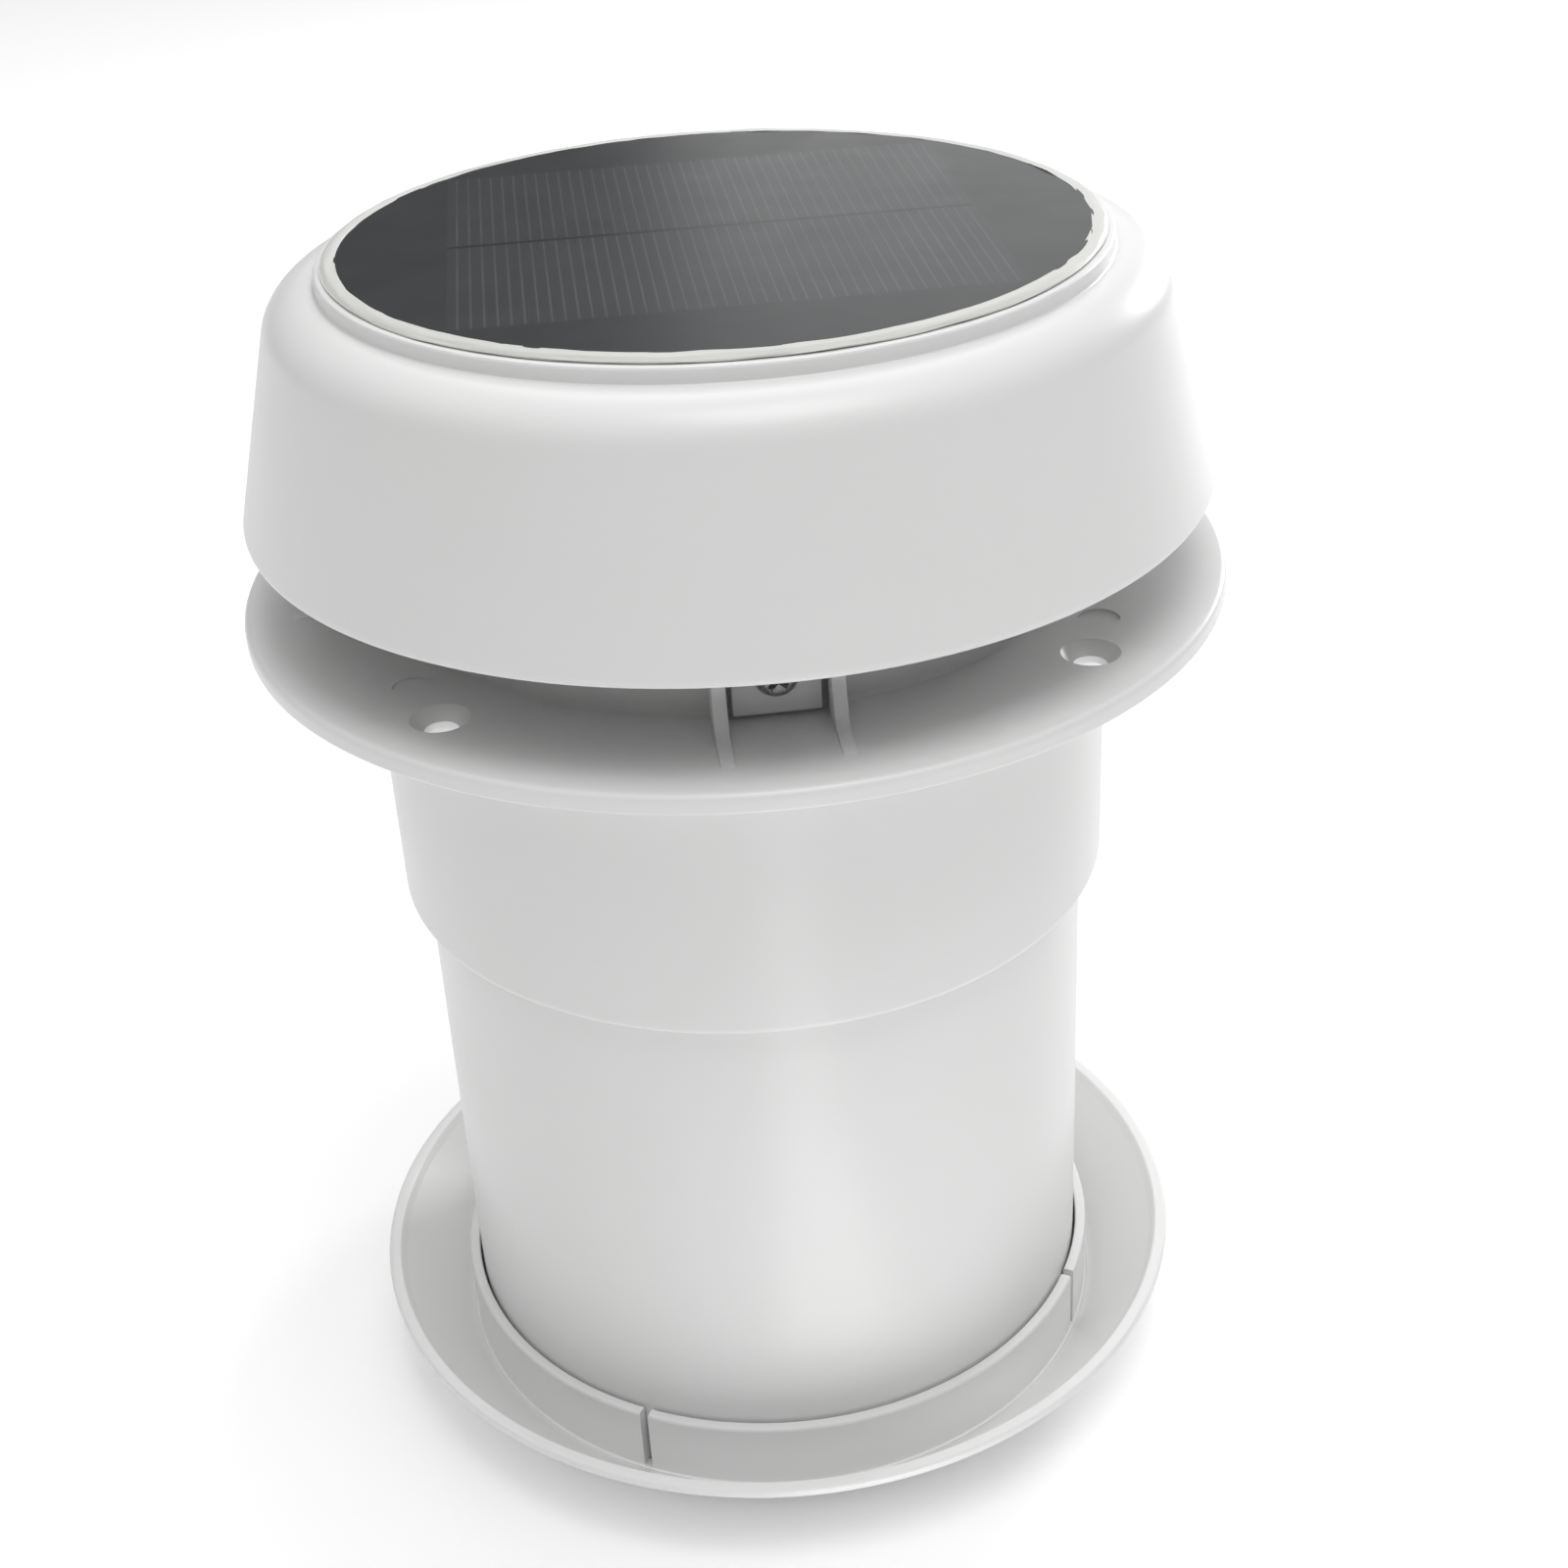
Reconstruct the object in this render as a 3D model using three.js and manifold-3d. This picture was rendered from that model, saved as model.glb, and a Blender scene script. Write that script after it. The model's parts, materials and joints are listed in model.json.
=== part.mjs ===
// Solar attic fan: a round roof ventilator with a solar cap, a motor and impeller under the cap,
// a deck flange with its duct, a telescopic sleeve and a ceiling trim ring.
// Millimetres, +Z up. The origin is on the duct axis, in the plane of the trim ring's foot.
import * as THREE from "three";
import { mergeVertices } from "three/addons/utils/BufferGeometryUtils.js";
import Module from "manifold-3d";

// ---------------------------------------------------------------- driving dimensions

// How the pieces are spaced along the duct axis.
const RING_HEIGHT = 15.5; // foot to the top of the trim ring's collar
const SLEEVE_EXPOSED = 86.2; // sleeve between the collar and the duct's open end
const DUCT_LENGTH = 51.8; // duct below the deck face
const CAP_CLEARANCE = 15.0; // air gap between the flange's top and the cap's rim
const HUB_SCREEN_GAP = 0.9; // impeller's hub above the insect screen's frame
const SLEEVE_OVERLAP = 18.0; // sleeve inside the duct

// Telescopic sleeve.
const SLEEVE_R = 58.45;
const SLEEVE_WALL = 2.45;
const SLEEVE_FOOT_GAP = 1.0; // sleeve's end above the trim ring's foot

// Duct and coaming of the base moulding.
const DUCT_CLEARANCE = 0.55;
const DUCT_WALL = 3.0;
const LEDGE_WIDTH = 3.6; // step from the duct's bore in to the throat
const LEDGE_DEPTH = 1.0; // the throat's ledge below the deck face
const COAMING_WALL = 2.0;
const COAMING_HEIGHT = 12.9; // above the flange's top
const COAMING_FILLET = 0.5;
const DUCT_FILLET = 1.2; // under the flange
const DUCT_EDGE = 1.2; // rounding of the duct's open end

// Deck flange.
const FLANGE_WIDTH = 24.1; // beyond the coaming
const FLANGE_THICKNESS = 3.1;
const FLANGE_EDGE = 1.2; // rounding of the flange's upper edge
const HOLE_R = 2.6;
const COUNTERSINK_R = 4.6;
const COUNTERSINK_SHARE = 0.65; // countersink's depth as a share of the flange's thickness
const MARK_INSET = 4.2; // ejector marks in from the circle of screw holes
const MARK_R = 3.3;
const MARK_DEPTH = 0.35;
const MARK_TURN = 9.6; // degrees between a screw hole and the ejector mark beside it

// Posts that hold the cap's legs.
const POST_COUNT = 4;
const LEG_WIDTH = 13.3;
const LEG_THICKNESS = 2.4;
const LEG_SIDE_GAP = 0.95;
const LEG_SEAT_GAP = 0.2; // between a leg and the coaming, and over its fillet
const WEB_DEPTH = 5.0; // web down the back of a leg
const RIB_THICKNESS = 2.2;
const RIB_TOP_GAP = 0.8; // rib's top below the coaming's top
const RIB_REACH = 12.5; // rib's foot beyond the leg's face
const CAP_SCREW_SHARE = 0.574; // cap screw's height as a share of the coaming's

// Cap.
const CAP_OVERHANG = 19.25; // rim beyond the legs' outer faces
const CAP_WALL = 2.4;
const CAP_SIDE_ANGLE = 14.2; // degrees from the vertical
const CAP_SHOULDER_R = 7.9;
const CAP_SHOULDER_LAND = 1.4; // between the plinth and the shoulder's curve
const CAP_RIM_ROUND = 1.2;
const PLINTH_HEIGHT = 2.6;
const PLINTH_LIP = 2.8;
const PLINTH_EDGE = 0.5; // rounding of the plinth's two edges

// Solar panel.
const PANEL_CLEARANCE = 0.3;
const PANEL_PROUD = 0.9; // panel's top above the plinth
const BACKING_THICKNESS = 2.9;
const CELL_THICKNESS = 0.35;
const COVER_THICKNESS = 0.6;
const CELL_WIDTH = 83.0;
const CELL_CORNER_GAP = 1.1; // cells' outer corners in from the panel's edge
const CELL_SPACING = 0.9;
const BEAD_WIDTH = 2.3;
const BEAD_PROUD = 0.3; // bead's crest above the panel

// Motor, armature and holder.
const MOTOR_R = 12.2;
const MOTOR_LENGTH = 28.4;
const MOTOR_WALL = 0.8;
const MOTOR_CAP_THICKNESS = 2.6;
const CAP_SPIGOT = 1.5; // end cap's part inside the can
const MAGNET_CLEARANCE = 0.1;
const MAGNET_THICKNESS = 2.0;
const MAGNET_ANGLE = 140; // degrees
const ARMATURE_GAP = 0.7; // round the armature, out to the magnets
const ARMATURE_LENGTH = 14.0;
const COMMUTATOR_WALL = 1.57;
const MAGNET_END = 1.0; // magnets beyond each end of the armature
const ARMATURE_END_GAP = 3.2; // between the armature and the can's floor
const HOLDER_CLEARANCE = 0.25; // round the motor
const HOLDER_WALL = 2.2;
const HOLDER_FLOOR = 2.1;
const HOLDER_FLANGE_WIDTH = 9.35;
const HOLDER_FLANGE = 2.3;
const GUSSET_HEIGHT = 14.0;
const GUSSET_THICKNESS = 1.8;
const BOSS_WALL = 1.95;
const BOSS_HEIGHT = 6.0;
const NOSE_WALL = 0.6; // wall of the can's nose round its bearing

// Shaft and impeller.
const SHAFT_R = 1.0;
const RUNNING_CLEARANCE = 0.06;
const PRESS_GAP = 0.03; // between the shaft and what is pressed on it
const BUSH_WALL = 1.5;
const TIP_CLEARANCE = 3.4; // blade tips to the throat
const HUB_R = 15.0;
const HUB_HEIGHT = 11.0;
const HUB_WALL = 1.8;
const HUB_FLOOR = 2.2;
const HUB_ROUND = 2.4;
const HUB_GAP = 2.6; // hub's top below the motor holder
const SHAFT_END = 1.2; // shaft beyond the hub
const BLADE_COUNT = 7;
const BLADE_THICKNESS = 1.5;
const BLADE_CHORD_ROOT = 13.0;
const BLADE_CHORD_TIP = 27.0;
const BLADE_PITCH_ROOT = 42; // degrees from the plane of rotation
const BLADE_PITCH_TIP = 21;

// Insect screen.
const SCREEN_CLEARANCE = 0.3;
const SCREEN_FRAME_WIDTH = 3.0;
const SCREEN_FRAME_HEIGHT = 2.4;
const SCREEN_BAR_WIDTH = 2.4;
const SCREEN_THICKNESS = 0.5;

// Trim ring.
const RING_FLARE = 15.6; // rim beyond the collar
const RING_CLEARANCE = 0.45;
const COLLAR_WALL = 2.0;
const RING_WALL = 2.2;
const RING_RIM_RISE = 1.6; // rim above the collar's top
const RING_FOOT_WIDTH = 2.9;
const RIM_LAND = 1.2; // flat top of the rim, which meets the ceiling
const SLOT_WIDTH = 1.6;
const SLOT_DEPTH = 12.8;
const SLOT_START = 60; // degrees from +X to the first slot

// Leads and grommet.
const LEAD_R = 0.8;
const LEAD_SPACING = 1.0; // between the two leads in the grommet
const TERMINAL_X = 5.6; // motor terminals each side of the shaft
const GROMMET_GAP = 0.7; // round the leads
const GROMMET_WALL = 1.2;
const GROMMET_LIP = 1.3;

// Screws: shank radius, head radius, head height.
const SCREW_END = 0.7; // a screw's tip beyond what it holds
const CAP_SCREW = {
  shank: 1.75,
  head: 3.45,
  height: 2.2,
  length: LEG_THICKNESS + LEG_SEAT_GAP + COAMING_WALL + SCREW_END,
};
const HOLDER_SCREW = { shank: 1.3, head: 2.6, height: 1.8, length: HOLDER_FLANGE + BOSS_HEIGHT - 0.3 };
const MOTOR_SCREW = { shank: 1.2, head: 2.2, height: 1.4, length: HOLDER_FLOOR + MOTOR_WALL + SCREW_END };
const SCREW_CLEARANCE = 0.15;

const SEAT_GAP = 0.05; // between faces that rest on each other
const THROUGH = 1.0; // how far a cut runs past what it cuts
const LARGE = 48; // segments of the large round pieces
const MEDIUM = 32; // segments of the hub and the motor holder
const SMALL = 24; // segments of the small round pieces
const FINE = 12; // segments of screws and holes

// ---------------------------------------------------------------- places worked out from them

const DECK_Z = RING_HEIGHT + SLEEVE_EXPOSED + DUCT_LENGTH;
const FLANGE_TOP = DECK_Z + FLANGE_THICKNESS;
const DUCT_BORE_R = SLEEVE_R + DUCT_CLEARANCE;
const DUCT_R = DUCT_BORE_R + DUCT_WALL;
const DUCT_END = DECK_Z - DUCT_LENGTH;
const LEDGE_Z = DECK_Z - LEDGE_DEPTH;
const THROAT_R = DUCT_BORE_R - LEDGE_WIDTH;
const COAMING_R = THROAT_R + COAMING_WALL;
const FLANGE_R = COAMING_R + FLANGE_WIDTH;
const HOLE_CIRCLE_R = (COAMING_R + FLANGE_R) / 2;
const MARK_CIRCLE_R = HOLE_CIRCLE_R - MARK_INSET;
const COAMING_TOP = FLANGE_TOP + COAMING_HEIGHT;
const LEG_R = COAMING_R + LEG_SEAT_GAP;
const LEG_FACE = LEG_R + LEG_THICKNESS;
const CAP_SCREW_Z = FLANGE_TOP + COAMING_HEIGHT * CAP_SCREW_SHARE;

// The stack from the insect screen up through the impeller and motor to the panel.
const SCREEN_TOP = LEDGE_Z - SCREEN_CLEARANCE;
const HUB_Z = SCREEN_TOP + HUB_SCREEN_GAP;
const HUB_TOP = HUB_Z + HUB_HEIGHT;
const HOLDER_Z = HUB_TOP + HUB_GAP;
const MOTOR_Z = HOLDER_Z + HOLDER_FLOOR + SEAT_GAP;
const CAN_TOP = MOTOR_Z + MOTOR_LENGTH;
const HOLDER_TOP = CAN_TOP + MOTOR_CAP_THICKNESS;
const ROOF_Z = HOLDER_TOP + SEAT_GAP + BOSS_HEIGHT;
const ROOF_TOP = ROOF_Z + CAP_WALL;
const BACKING_Z = ROOF_TOP + SEAT_GAP;
const CELL_Z = BACKING_Z + BACKING_THICKNESS + SEAT_GAP;
const COVER_Z = CELL_Z + CELL_THICKNESS + SEAT_GAP;
const PANEL_TOP = COVER_Z + COVER_THICKNESS;
const PLINTH_TOP = PANEL_TOP - PANEL_PROUD;
const SHOULDER_TOP = PLINTH_TOP - PLINTH_HEIGHT;

// The cap's outline, from its rim in to the panel.
const CAP_R = LEG_FACE + CAP_OVERHANG;
const CAP_RIM_Z = FLANGE_TOP + CAP_CLEARANCE;
const SIDE_ANGLE = THREE.MathUtils.degToRad(CAP_SIDE_ANGLE);
const SHOULDER_Z = SHOULDER_TOP - CAP_SHOULDER_R;
const SIDE_RUN = (SHOULDER_Z + CAP_SHOULDER_R * Math.sin(SIDE_ANGLE) - CAP_RIM_Z) * Math.tan(SIDE_ANGLE);
const SHOULDER_X = CAP_R - SIDE_RUN - CAP_SHOULDER_R * Math.cos(SIDE_ANGLE);
const PLINTH_R = SHOULDER_X - CAP_SHOULDER_LAND;
const PANEL_R = PLINTH_R - PLINTH_LIP - PANEL_CLEARANCE;
const CELL_DEPTH = Math.sqrt((PANEL_R - CELL_CORNER_GAP) ** 2 - (CELL_WIDTH / 2) ** 2) - CELL_SPACING / 2;

// Round sizes of the motor, its holder and what passes through the cap.
const BORE_R = SHAFT_R + RUNNING_CLEARANCE;
const BEARING_R = BORE_R + BUSH_WALL;
const NOSE_R = BEARING_R + NOSE_WALL;
const CAN_BORE = MOTOR_R - MOTOR_WALL;
const MAGNET_R = CAN_BORE - MAGNET_CLEARANCE;
const MAGNET_BORE = MAGNET_R - MAGNET_THICKNESS;
const ARMATURE_R = MAGNET_BORE - ARMATURE_GAP;
const ARMATURE_Z = MOTOR_Z + MOTOR_WALL + ARMATURE_END_GAP;
const MOTOR_SCREW_CIRCLE_R = (NOSE_R + CAN_BORE) / 2;
const HOLDER_BORE = MOTOR_R + HOLDER_CLEARANCE;
const HOLDER_R = HOLDER_BORE + HOLDER_WALL;
const HOLDER_FLANGE_R = HOLDER_R + HOLDER_FLANGE_WIDTH;
const HOLDER_SCREW_CIRCLE_R = (HOLDER_R + HOLDER_FLANGE_R) / 2;
const IMPELLER_R = THROAT_R - TIP_CLEARANCE;
const LEAD_X = LEAD_R + LEAD_SPACING / 2;
const GROMMET_HOLE_R = LEAD_X + LEAD_R + GROMMET_GAP;
const GROMMET_R = GROMMET_HOLE_R + GROMMET_WALL;

// ---------------------------------------------------------------- shaping

const wasm = await Module();
wasm.setup();
const rad = THREE.MathUtils.degToRad;

function solid(geometry) {
  const bare = geometry.clone();
  bare.deleteAttribute("normal");
  bare.deleteAttribute("uv");
  const merged = mergeVertices(bare, 1e-4);
  return new wasm.Manifold(
    new wasm.Mesh({
      numProp: 3,
      vertProperties: new Float32Array(merged.attributes.position.array),
      triVerts: new Uint32Array(merged.index.array),
    }),
  );
}

function surface(made) {
  const { vertProperties, triVerts } = made.getMesh();
  const geometry = new THREE.BufferGeometry();
  geometry.setAttribute("position", new THREE.BufferAttribute(vertProperties, 3));
  geometry.setIndex(new THREE.BufferAttribute(triVerts, 1));
  geometry.computeVertexNormals();
  return geometry;
}

// A body of revolution about Z from [radius, height] points, drawn with the material on the left.
function turned(points, segments) {
  const closed = points[0][0] > 0 ? [...points, points[0]] : points;
  const profile = closed.map(([r, z]) => new THREE.Vector2(r, z));
  return new THREE.LatheGeometry(profile, segments).rotateX(Math.PI / 2);
}

// Points of an arc in a profile, about [r, z], from one angle to another in degrees.
function arc([r, z], radius, from, to, steps) {
  return Array.from({ length: steps + 1 }, (_, i) => {
    const angle = rad(from + ((to - from) * i) / steps);
    return [r + radius * Math.cos(angle), z + radius * Math.sin(angle)];
  });
}

function tube(inner, outer, bottom, top, segments) {
  return turned([[inner, bottom], [outer, bottom], [outer, top], [inner, top]], segments);
}

function rod(radius, bottom, top, segments) {
  return turned([[0, bottom], [radius, bottom], [radius, top], [0, top]], segments);
}

function box(x, y, z, centre) {
  return new THREE.BoxGeometry(x, y, z).translate(...centre);
}

// A flat plate from [x, y] points, from bottom to top along Z.
function plate(points, bottom, top) {
  const shape = new THREE.Shape(points.map(([x, y]) => new THREE.Vector2(x, y)));
  return new THREE.ExtrudeGeometry(shape, { depth: top - bottom, bevelEnabled: false })
    .translate(0, 0, bottom);
}

// A rib that stands in the X-Z plane from [x, z] points, half its thickness each side of y.
function upright(points, thickness, y) {
  return plate(points, -thickness / 2, thickness / 2)
    .rotateX(Math.PI / 2)
    .translate(0, y, 0);
}

function spun(geometry, degrees) {
  return geometry.clone().rotateZ(rad(degrees));
}

// A geometry that points up Z, laid along +X with its base at the given distance and height.
function radial(geometry, distance, height) {
  return geometry.clone().rotateY(Math.PI / 2).translate(distance, 0, height);
}

// ---------------------------------------------------------------- materials

function material(color, roughness, metalness = 0) {
  return new THREE.MeshStandardMaterial({ color, roughness, metalness });
}

const whitePlastic = material(0xd9dad9, 0.28);
const blackPlastic = material(0x202224, 0.45);
const darkBoard = material(0x2b2d2f, 0.5);
const siliconCell = material(0x23262b, 0.3);
const clearCover = material(0x3a3c3e, 0.12);
const sealant = material(0xdedfdd, 0.4);
const stainless = material(0xb9bbbd, 0.3, 1);
const zincSteel = material(0xa7a9ab, 0.35, 1);
const brass = material(0xb59a5a, 0.35, 1);
const ferrite = material(0x35373a, 0.6);
const copperSteel = material(0x8a6a4a, 0.45, 1);
const redLead = material(0x9e2a22, 0.45);
const blackLead = material(0x1c1d1f, 0.45);
const meshSteel = material(0x8d9092, 0.4, 1);

const fan = new THREE.Group();

function add(name, shape, finish) {
  const geometry = shape.isBufferGeometry ? shape : surface(shape);
  const mesh = new THREE.Mesh(geometry, finish);
  mesh.name = name;
  fan.add(mesh);
}

// A pan head screw that points up: its head's underside is at z = 0 and its shank goes up.
function screw({ shank, head, height, length }) {
  const tip = shank * 0.5;
  const body = solid(
    turned(
      [
        [0, -height],
        [head * 0.62, -height],
        [head * 0.9, -height * 0.72],
        [head, -height * 0.3],
        [head, 0],
        [shank, 0],
        [shank, length - tip],
        [tip, length],
        [0, length],
      ],
      FINE,
    ),
  );
  const slotLength = head * 1.1;
  const slotWidth = head * 0.28;
  const slotDepth = height * 0.6;
  const slots = [
    [slotLength, slotWidth],
    [slotWidth, slotLength],
  ];
  return slots.reduce(
    (made, [x, y]) => made.subtract(solid(box(x, y, 2 * slotDepth, [0, 0, -height]))),
    body,
  );
}

// ---------------------------------------------------------------- base flange

function baseFlange() {
  const tip = COAMING_WALL / 4; // rounding of the coaming's top edge
  const bevel = 0.4; // broken lower edge of the flange
  const profile = [
    [DUCT_BORE_R, DUCT_END],
    [DUCT_R - DUCT_EDGE, DUCT_END],
    ...arc([DUCT_R - DUCT_EDGE, DUCT_END + DUCT_EDGE], DUCT_EDGE, -60, 0, 2),
    [DUCT_R, DECK_Z - DUCT_FILLET],
    ...arc([DUCT_R + DUCT_FILLET, DECK_Z - DUCT_FILLET], DUCT_FILLET, 150, 90, 2),
    [FLANGE_R - bevel, DECK_Z],
    [FLANGE_R, DECK_Z + bevel],
    ...arc([FLANGE_R - FLANGE_EDGE, FLANGE_TOP - FLANGE_EDGE], FLANGE_EDGE, 0, 90, 3),
    ...arc([COAMING_R + COAMING_FILLET, FLANGE_TOP + COAMING_FILLET], COAMING_FILLET, -90, -180, 2),
    [COAMING_R, COAMING_TOP - tip],
    [COAMING_R - tip, COAMING_TOP],
    [THROAT_R + tip, COAMING_TOP],
    [THROAT_R, COAMING_TOP - tip],
    [THROAT_R, LEDGE_Z],
    [DUCT_BORE_R, LEDGE_Z],
  ];
  let made = solid(turned(profile, LARGE));

  // Two concave ribs make the pocket of each post.
  const ribY = LEG_WIDTH / 2 + LEG_SIDE_GAP + RIB_THICKNESS / 2;
  const inside = COAMING_R - COAMING_WALL / 2;
  const ribFace = LEG_FACE + CAP_SCREW.head * 0.9;
  const ribTop = COAMING_TOP - RIB_TOP_GAP;
  const foot = LEG_FACE + RIB_REACH;
  const curve = Math.min(foot - ribFace, ribTop - FLANGE_TOP) * 0.9;
  const sunk = FLANGE_THICKNESS / 6; // how far the ribs reach into the flange
  const chamfer = RIB_THICKNESS * 0.36;
  const rib = [
    [inside, FLANGE_TOP - sunk],
    [foot, FLANGE_TOP - sunk],
    [foot, FLANGE_TOP + sunk / 2],
    ...arc([ribFace + curve, FLANGE_TOP + sunk + curve], curve, -90, -180, 5),
    [ribFace, ribTop - chamfer],
    [ribFace - chamfer, ribTop],
    [inside, ribTop],
  ];
  const pilot = radial(
    rod(CAP_SCREW.shank + SCREW_CLEARANCE, -THROUGH, COAMING_WALL + THROUGH, FINE),
    THROAT_R,
    CAP_SCREW_Z,
  );
  for (let i = 0; i < POST_COUNT; i += 1) {
    const turn = (360 / POST_COUNT) * i;
    for (const side of [-1, 1]) {
      made = made.add(solid(spun(upright(rib, RIB_THICKNESS, side * ribY), turn)));
    }
    made = made.subtract(solid(spun(pilot, turn)));
  }

  // Countersunk screw holes halfway between the posts, each with a shallow ejector mark beside it.
  const sinkZ = FLANGE_TOP - FLANGE_THICKNESS * COUNTERSINK_SHARE;
  const sink = turned(
    [
      [0, DECK_Z - THROUGH],
      [HOLE_R, DECK_Z - THROUGH],
      [HOLE_R, sinkZ],
      [COUNTERSINK_R, FLANGE_TOP],
      [COUNTERSINK_R, FLANGE_TOP + THROUGH],
      [0, FLANGE_TOP + THROUGH],
    ],
    FINE,
  ).translate(HOLE_CIRCLE_R, 0, 0);
  const mark = rod(MARK_R, FLANGE_TOP - MARK_DEPTH, FLANGE_TOP + THROUGH, FINE)
    .translate(MARK_CIRCLE_R, 0, 0);
  for (let i = 0; i < POST_COUNT; i += 1) {
    const turn = (360 / POST_COUNT) * (i + 0.5);
    const towards = i % 2 === 0 ? -1 : 1;
    made = made.subtract(solid(spun(sink, turn)));
    made = made.subtract(solid(spun(mark, turn + towards * MARK_TURN)));
  }
  return made;
}

// ---------------------------------------------------------------- cap

function capCover() {
  const innerRim = CAP_R - CAP_WALL / Math.cos(SIDE_ANGLE);
  const innerCornerR = CAP_SHOULDER_R - CAP_WALL;
  const centre = [SHOULDER_X, SHOULDER_Z];
  const recess = PANEL_R + PANEL_CLEARANCE;
  const profile = [
    [0, ROOF_Z],
    [SHOULDER_X - innerCornerR * 0.3, ROOF_Z],
    ...arc(centre, innerCornerR, 60, CAP_SIDE_ANGLE, 3),
    [innerRim, CAP_RIM_Z],
    [CAP_R - CAP_RIM_ROUND, CAP_RIM_Z],
    ...arc([CAP_R - CAP_RIM_ROUND, CAP_RIM_Z + CAP_RIM_ROUND], CAP_RIM_ROUND, -50, 10, 2),
    ...arc(centre, CAP_SHOULDER_R, CAP_SIDE_ANGLE, 90, 6),
    [PLINTH_R + PLINTH_EDGE, SHOULDER_TOP],
    [PLINTH_R, SHOULDER_TOP + PLINTH_EDGE],
    [PLINTH_R, PLINTH_TOP - PLINTH_EDGE],
    [PLINTH_R - PLINTH_EDGE, PLINTH_TOP],
    [recess, PLINTH_TOP],
    [recess, ROOF_TOP],
    [0, ROOF_TOP],
  ];
  let made = solid(turned(profile, LARGE));

  // Legs hang from the roof into the posts, each stiffened by a web down its back.
  const rooted = ROOF_Z + CAP_WALL / 2; // where legs and bosses end inside the roof
  const legFoot = FLANGE_TOP + COAMING_FILLET + LEG_SEAT_GAP;
  const leg = box(LEG_THICKNESS, LEG_WIDTH, rooted - legFoot, [
    LEG_R + LEG_THICKNESS / 2,
    0,
    (rooted + legFoot) / 2,
  ]);
  const webFoot = COAMING_TOP + WEB_DEPTH / 2;
  const webOuter = LEG_R + LEG_THICKNESS / 5;
  const web = upright(
    [
      [webOuter, webFoot],
      [webOuter, rooted],
      [LEG_R - WEB_DEPTH * 1.6, rooted],
      [LEG_R - WEB_DEPTH, ROOF_Z - WEB_DEPTH],
      [LEG_R - WEB_DEPTH * 0.5, webFoot + WEB_DEPTH],
    ],
    RIB_THICKNESS,
    0,
  );
  const screwHole = radial(
    rod(CAP_SCREW.shank + SCREW_CLEARANCE, -THROUGH, LEG_THICKNESS + THROUGH, FINE),
    LEG_R,
    CAP_SCREW_Z,
  );
  for (let i = 0; i < POST_COUNT; i += 1) {
    const turn = (360 / POST_COUNT) * i;
    made = made.add(solid(spun(leg, turn))).add(solid(spun(web, turn)));
    made = made.subtract(solid(spun(screwHole, turn)));
  }

  // Three screw bosses for the motor holder, and the hole for the panel's leads.
  const bossHoleR = HOLDER_SCREW.shank + SCREW_CLEARANCE;
  const bossFoot = ROOF_Z - BOSS_HEIGHT;
  const boss = rod(bossHoleR + BOSS_WALL, bossFoot, rooted, FINE)
    .translate(HOLDER_SCREW_CIRCLE_R, 0, 0);
  const bossHole = rod(bossHoleR, bossFoot - THROUGH, ROOF_Z + CAP_WALL / 4, FINE)
    .translate(HOLDER_SCREW_CIRCLE_R, 0, 0);
  for (let i = 0; i < 3; i += 1) {
    made = made.add(solid(spun(boss, 90 + 120 * i)));
    made = made.subtract(solid(spun(bossHole, 90 + 120 * i)));
  }
  const leadHole = rod(GROMMET_R + SEAT_GAP, ROOF_Z - THROUGH, ROOF_TOP + THROUGH, SMALL);
  return made.subtract(solid(leadHole));
}

add("base_flange", baseFlange(), whitePlastic);
add("cap_cover", capCover(), whitePlastic);

["right", "back", "left", "front"].forEach((side, i) => {
  const laid = surface(screw(CAP_SCREW))
    .rotateY(-Math.PI / 2)
    .translate(LEG_FACE + SEAT_GAP, 0, CAP_SCREW_Z);
  add("cap_screw_" + side, spun(laid, 90 * i), stainless);
});

// ---------------------------------------------------------------- solar panel

add(
  "panel_backing",
  tube(GROMMET_HOLE_R, PANEL_R, BACKING_Z, BACKING_Z + BACKING_THICKNESS, LARGE),
  darkBoard,
);
for (const [side, direction] of [["front", -1], ["back", 1]]) {
  const y = (direction * (CELL_DEPTH + CELL_SPACING)) / 2;
  const wafer = box(CELL_WIDTH, CELL_DEPTH, CELL_THICKNESS, [0, y, CELL_Z + CELL_THICKNESS / 2]);
  add("solar_cell_" + side, wafer, siliconCell);
}
add("panel_cover", rod(PANEL_R, COVER_Z, PANEL_TOP, LARGE), clearCover);

function sealantBead() {
  const inner = PANEL_R + PANEL_CLEARANCE / 3;
  const outer = inner + BEAD_WIDTH;
  const bottom = PLINTH_TOP + SEAT_GAP;
  const top = PANEL_TOP + BEAD_PROUD;
  const middle = (inner + outer) / 2;
  const rise = (share) => bottom + share * (top - bottom);
  return turned(
    [
      [inner, bottom],
      [outer, bottom],
      [outer - 0.05 * BEAD_WIDTH, rise(0.45)],
      [middle + 0.3 * BEAD_WIDTH, rise(0.85)],
      [middle, top],
      [middle - 0.3 * BEAD_WIDTH, rise(0.9)],
      [inner, rise(0.7)],
    ],
    LARGE,
  );
}
add("sealant_bead", sealantBead(), sealant);

// ---------------------------------------------------------------- motor holder

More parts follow.
